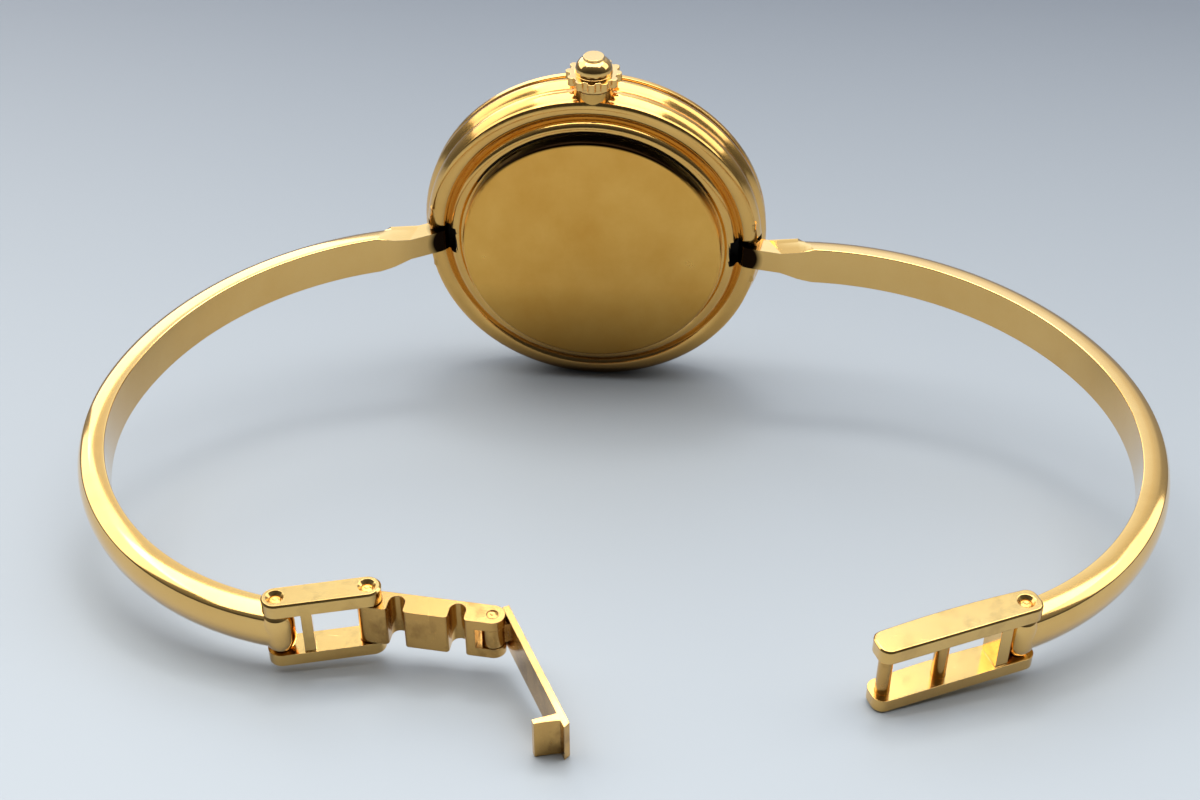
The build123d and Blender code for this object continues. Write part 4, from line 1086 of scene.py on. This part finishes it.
    def add_tab(self, mesh: BMesh, ring: list[BMEdge]) -> None:
        """Carry the end of the upper arc on to the rounded end at the case hinge.

        Args:
            mesh: The bmesh of the arm.
            ring: The edges of the section at the end of the arc.
        """
        angle = math.radians(self.upper_sweep)
        outward = Vector((math.cos(angle), math.sin(angle), 0.0))
        centre = Vector((self.upper_centre, self.widest_y, 0.0))
        middle_radius = self.inner_x - self.upper_centre + self.thickness / 2
        middle = centre + outward * middle_radius
        along = -middle.normalized()
        across = Vector((along.y, -along.x, 0.0))
        start = {
            vert: ((vert.co - middle).dot(outward) / (self.thickness / 2), vert.co.z)
            for edge in ring
            for vert in edge.verts
        }
        for degrees in self.tab_turns:
            turn = math.radians(degrees)
            old = {vert for edge in ring for vert in edge.verts}
            made = bmesh.ops.extrude_edge_only(mesh, edges=ring)["geom"]
            fresh = {v for v in made if isinstance(v, bmesh.types.BMVert) and v not in old}
            here = {}
            for vert in fresh:
                here[vert] = start[min(old, key=lambda other: (other.co - vert.co).length)]
                share, height = here[vert]
                flat = along * self.tab_radius * math.sin(turn)
                flat = flat + across * self.tab_radius * math.cos(turn) * share
                vert.co = Vector((flat.x, flat.y, height))
            ring = [edge for edge in mesh.edges if set(edge.verts) <= fresh]
            start = here

    def narrow_tab(self, mesh: BMesh) -> None:
        """Cut the creases of the tab and narrow it towards the case.

        Args:
            mesh: The bmesh of the arm.
        """
        sideways = Vector((1.0, 0.0, 0.0))
        for place in (self.tab_shoulder, self.tab_neck):
            near = [v for v in mesh.verts if v.co.y > self.tab_reach]
            faces = {face for vert in near for face in vert.link_faces}
            cut_across(mesh, list(faces), sideways * place, sideways, CUT_DOUBLES)
        slope = (self.half_height - self.tab_half) / (self.tab_shoulder - self.tab_neck)
        for vert in mesh.verts:
            if vert.co.y > self.tab_reach and vert.co.x < self.tab_shoulder:
                run = max(vert.co.x - self.tab_neck, 0.0)
                height = abs(vert.co.z)
                square = self.half_height * min(height / self.shoulder_height, 1.0)
                share = min((self.tab_shoulder - vert.co.x) / self.square_run, 1.0)
                level = height + (square - height) * share
                level = level * (self.tab_half + slope * run) / self.half_height
                vert.co.z = math.copysign(level, vert.co.z)

    def add_knuckle(self, mesh: BMesh) -> None:
        """Add the rounded knuckle at the clasp end.

        Args:
            mesh: The bmesh of the arm.
        """
        radius = self.thickness / 2
        top = [(radius * out, self.knuckle_half * up) for out, up in self.knuckle_shares]
        lathe(mesh, both_ends(top), self.knuckle, self.knuckle_faces)


@dataclass
class CasePieces(Assembly):
    """The case: its body, bezel, back and crown.

    The shade is the dark crescent that the ring throws on the top of the back. Its
    distances are past the back's radius.
    """

    edge: float = 0.08
    slot_floor: float = 10.2
    slot_half: float = 1.12
    slot_front: float = 1.33
    back_radius: float = 9.75
    back_level: float = -1.2
    ring_reach: float = 10.1
    crescent_slope: float = 0.6
    shade_drop: float = 0.5
    shade_none: float = 0.20
    shade_full: float = 0.32
    wall_level: float = 0.3
    wall_height: float = 2.6
    wall_radius: float = 12.3
    wall_play: float = 0.02
    rib_count: int = 2
    rib_faces: int = 10
    rib_depth: float = 0.2
    # Heights over the table up to which the wall and the back grow darker as painted shade.
    painted_shade_height: float = 4.5
    back_painted_shade_height: float = 9.0

    def build(self) -> None:
        """Build the pieces of the case that show and dress them."""
        case = self.benches.case
        # Painted shade: the dark crescent over the top of the back, and both the wall and the back
        # darker towards the table.
        shade = PaintedShade(
            (case.point(0.0, self.back_level, -self.shade_drop),),
            (self.back_radius + self.shade_none) * MM,
            (self.back_radius + self.shade_full) * MM,
        )
        wall = replace(CASE_GOLD, painted_shade_height=self.painted_shade_height * MM)
        back = replace(DISC_GOLD, painted_shade_height=self.back_painted_shade_height * MM, painted_shade=shade)
        body = CopiedPiece("mid_case", "case", wall, self.edge, self.rib_wall)
        self.darken_slots(body.build(self.shelf))
        CopiedPiece("bezel", "case", wall, self.edge).build(self.shelf)
        CopiedPiece("case_back", "case", back).build(self.shelf)
        CopiedPiece("crown", "crown", POLISHED_GOLD, self.edge).build(self.shelf)

    def rib_wall(self, mesh: BMesh) -> None:
        """Round the case wall into ribs, with a groove at the bezel's seam.

        Args:
            mesh: The bmesh of the mid-case, in scene metres.
        """
        case = self.benches.case
        back = case.matrix.inverted()
        steps = self.rib_count * self.rib_faces
        for step in range(1, steps):
            level = self.wall_level + self.wall_height * step / steps
            faces = [
                face for face in mesh.faces
                if all(self.on_wall(back @ vert.co) for vert in face.verts)
            ]
            cut_across(mesh, faces, case.point(0.0, level), case.y_axis, CUT_DOUBLES * MM)
        for vert in mesh.verts:
            place = back @ vert.co
            if self.on_wall(place):
                share = (place.y - self.wall_level) / self.wall_height
                rise = abs(math.sin(math.pi * self.rib_count * share))
                shrink = 1.0 - self.rib_depth * (1.0 - rise) / math.hypot(place.x, place.z)
                place.x *= shrink
                place.z *= shrink
                vert.co = case.matrix @ place

    def on_wall(self, place: Vector) -> bool:
        """Tell whether a place in the case frame is on the outer wall."""
        low = self.wall_level - self.wall_play
        high = self.wall_level + self.wall_height + self.wall_play
        return low < place.y < high and math.hypot(place.x, place.z) > self.wall_radius

    def in_slot(self, place: Vector) -> bool:
        """Tell whether a place in the case frame is in a hinge slot."""
        inside = abs(place.x) > self.slot_floor and abs(place.z) < self.slot_half
        return inside and place.y < self.slot_front

    def over_back(self, place: Vector) -> bool:
        """Tell whether a place in the case frame is over the top of the back."""
        inside = math.hypot(place.x, place.z) < self.ring_reach
        return inside and place.z > abs(place.x) * self.crescent_slope

    def darken_slots(self, piece: Piece) -> None:
        """Darken the walls of the hinge slots, as tarnish and painted shade, and the faces over the
        back's top, as painted shade.

        Args:
            piece: The mid-case.
        """
        # The second material: tarnish and painted shade in the hinge slots, painted shade over the
        # back's top.
        piece.data.materials.append(self.shelf.material(SLOT_SHADE_AND_TARNISH))
        back = self.benches.case.matrix.inverted()
        places = [back @ vert.co for vert in piece.data.vertices]
        for face in piece.data.polygons:
            corners = [places[index] for index in face.vertices]
            if all(map(self.in_slot, corners)) or all(map(self.over_back, corners)):
                face.material_index = 1


@dataclass
class HiddenPieces(Assembly):
    """The nodes that keep their own solid: movement, dial, hands, glass, pins."""

    def build(self) -> None:
        """Give each of these nodes its finish."""
        finishes: list[tuple[Finish, Sequence[str]]] = [
            (MINERAL_GLASS, ("crystal",)),
            (GASKET_BLACK, ("crystal_gasket", "case_back_gasket", "crown_gasket")),
            (DIAL_WHITE, ("dial",)),
            (MARKER_GOLD, ("hour_markers", "hour_hand", "minute_hand")),
            (RING_PLASTIC, ("movement_ring",)),
            (MOVEMENT_BRASS, (
                "dial_feet", "main_plate", "train_bridge", "second_wheel", "third_wheel",
                "centre_wheel", "minute_wheel", "hour_wheel",
            )),
            (MOVEMENT_STEEL, (
                "bridge_screws", "battery_clamp", "stator", "coil_core", "rotor",
                "cannon_pinion", "setting_wheel", "setting_lever", "stem",
            )),
            (BATTERY_STEEL, ("battery",)),
            (BOARD_GREEN, ("circuit_board",)),
            (CHIP_BLACK, ("circuit_chip",)),
            (CAN_METAL, ("quartz_can",)),
            (COPPER, ("coil_winding",)),
            (PIN_GOLD, ("left_hinge_pin", "right_hinge_pin", "crown_tube")),
        ]
        for finish, nodes in finishes:
            for node in nodes:
                self.shelf.dress_node(node, finish)
                log.info("%s is dressed as %s", node, finish.name)


# Table, lights and camera


@dataclass(frozen=True)
class Softbox:
    """One soft rectangular light that faces the watch: place, size and power."""

    name: str
    place: Place
    width: float
    height: float
    power: float

    def hang(self) -> None:
        """Hang the light."""
        lamp = bpy.data.lights.new(self.name, "AREA")
        lamp.shape = "RECTANGLE"
        lamp.size = self.width
        lamp.size_y = self.height
        lamp.energy = self.power
        holder = stand(self.name, lamp)
        holder.location = self.place
        facing = -Vector(self.place)
        holder.rotation_euler = facing.to_track_quat("-Z", "Y").to_euler()


@dataclass
class Studio:
    """The table, the soft lights and the dim room round the watch, in metres.

    Each stop of the room is a place between its floor and the sky, and a brightness.
    """

    half_table: float = 1.6
    # The table's colour at the front, and its painted shade at the back, with where the painted
    # shade starts and ends along y.
    near_lit_colour: Colour = (169, 175, 179)
    far_shaded_colour: Colour = (108, 114, 122)
    near_place: float = -0.05
    far_place: float = 0.14
    table_rough: float = 0.6
    softboxes: tuple[Softbox, ...] = (
        Softbox("top_softbox", (0.0, -0.02, 0.44), 0.60, 0.36, 2.4),
        Softbox("key_light", (0.0, 0.15, 0.42), 0.12, 0.07, 0.26),
        Softbox("left_back_panel", (-0.30, 0.42, 0.30), 0.30, 0.30, 0.66),
        Softbox("left_panel", (-0.42, 0.10, 0.36), 0.40, 0.40, 1.02),
        Softbox("right_panel", (0.45, 0.10, 0.36), 0.34, 0.38, 0.82),
    )
    room_lean: Place = (0.0, 0.643, 0.766)
    room_floor: Paint = (0.05, 0.05, 0.055, 1.0)
    room_sky: Paint = (1.32, 1.56, 2.02, 1.0)
    room_tint: Colour = (0.97, 1.0, 1.04)
    room_stops: tuple[Pair, ...] = (
        (0.35, 0.05), (0.55, 0.13), (0.75, 0.26), (0.90, 0.40), (0.965, 0.92),
    )

    def build(self) -> None:
        """Build the table, the lights and the room."""
        self.lay_table()
        self.light_room()
        for softbox in self.softboxes:
            softbox.hang()
        bpy.context.scene.view_settings.view_transform = "Standard"

    def lay_table(self) -> None:
        """Lay a pale table under the watch, a little darker towards the back as painted shade."""
        mesh = bmesh.new()
        bmesh.ops.create_grid(mesh, x_segments=1, y_segments=1, size=self.half_table)
        data = bpy.data.meshes.new("table")
        mesh.to_mesh(data)
        mesh.free()
        table = stand("table", data)
        maker = MaterialMaker("table_cloth")
        backwards = Vector((0.0, 1.0, 0.0))
        depth = maker.along(
            backwards * self.near_place, backwards, self.far_place - self.near_place
        )
        shade = maker.mix(depth, linear(self.near_lit_colour), linear(self.far_shaded_colour))
        maker.finish(shade, "Base Color")
        maker.finish(self.table_rough, "Roughness")
        data.materials.append(maker.material)

    def light_room(self) -> None:
        """Set a room that is dim in front of the watch and brighter behind it."""
        world = bpy.data.worlds.new("dim_room")
        bpy.context.scene.world = world
        world.use_nodes = True
        maker = TreeMaker(world.node_tree)
        backdrop = next(n for n in maker.tree.nodes if n.type == "BACKGROUND")
        sight = maker.node("ShaderNodeTexCoord").outputs["Generated"]
        lean = maker.work("DOT_PRODUCT", sight, Vector(self.room_lean), VECTORS)
        ramp = maker.node("ShaderNodeValToRGB")
        maker.feed(maker.remap(lean, low=-1.0), ramp.inputs["Fac"])
        maker.feed(ramp.outputs["Color"], backdrop.inputs["Color"])
        stops = ramp.color_ramp.elements
        stops[0].color = self.room_floor
        stops[1].color = self.room_sky
        for position, brightness in self.room_stops:
            red, green, blue = (brightness * part for part in self.room_tint)
            stops.new(position).color = (red, green, blue, 1.0)


@dataclass
class Viewpoint:
    """The camera, as fitted to the photograph in the case frame.

    The lens and the sensor are in millimetres, the clip distances in metres.
    """

    place: Place = (10.859, -115.413, 82.527)
    right: Place = (0.99604, 0.08888, 0.0)
    up: Place = (-0.05733, 0.64243, 0.76420)
    lens: float = 56.41
    sensor: float = 36.0
    clip_near: float = 0.005
    clip_far: float = 10.0

    def build(self, bench: Bench) -> None:
        """Place the camera.

        Args:
            bench: The case frame.
        """
        camera = bpy.data.cameras.new("camera")
        camera.sensor_width = self.sensor
        camera.lens = self.lens
        camera.clip_start = self.clip_near
        camera.clip_end = self.clip_far
        turn = bench.matrix.to_3x3() * (1.0 / MM)
        right = (turn @ Vector(self.right)).normalized()
        up = (turn @ Vector(self.up)).normalized()
        facing = right.cross(up)
        holder = stand("camera", camera)
        pose = Matrix((right, up, facing)).transposed().to_4x4()
        holder.matrix_world = Matrix.Translation(bench.point(*self.place)) @ pose
        bpy.context.scene.camera = holder


def main() -> None:
    """Build the looks of the watch, its table, its lights and its camera."""
    logging.basicConfig(level=logging.INFO, format="%(message)s")
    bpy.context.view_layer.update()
    stance = Stance()
    benches = stance.lay_out()
    shelf = FinishShelf()
    CasePieces(shelf, benches).build()
    ArmPieces(shelf, benches, stance.clasp_end).build()
    ClaspPieces(shelf, benches).build()
    PinPieces(shelf, benches).build()
    HiddenPieces(shelf, benches).build()
    Studio().build()
    Viewpoint().build(benches.case)


if __name__ == "__main__":
    main()
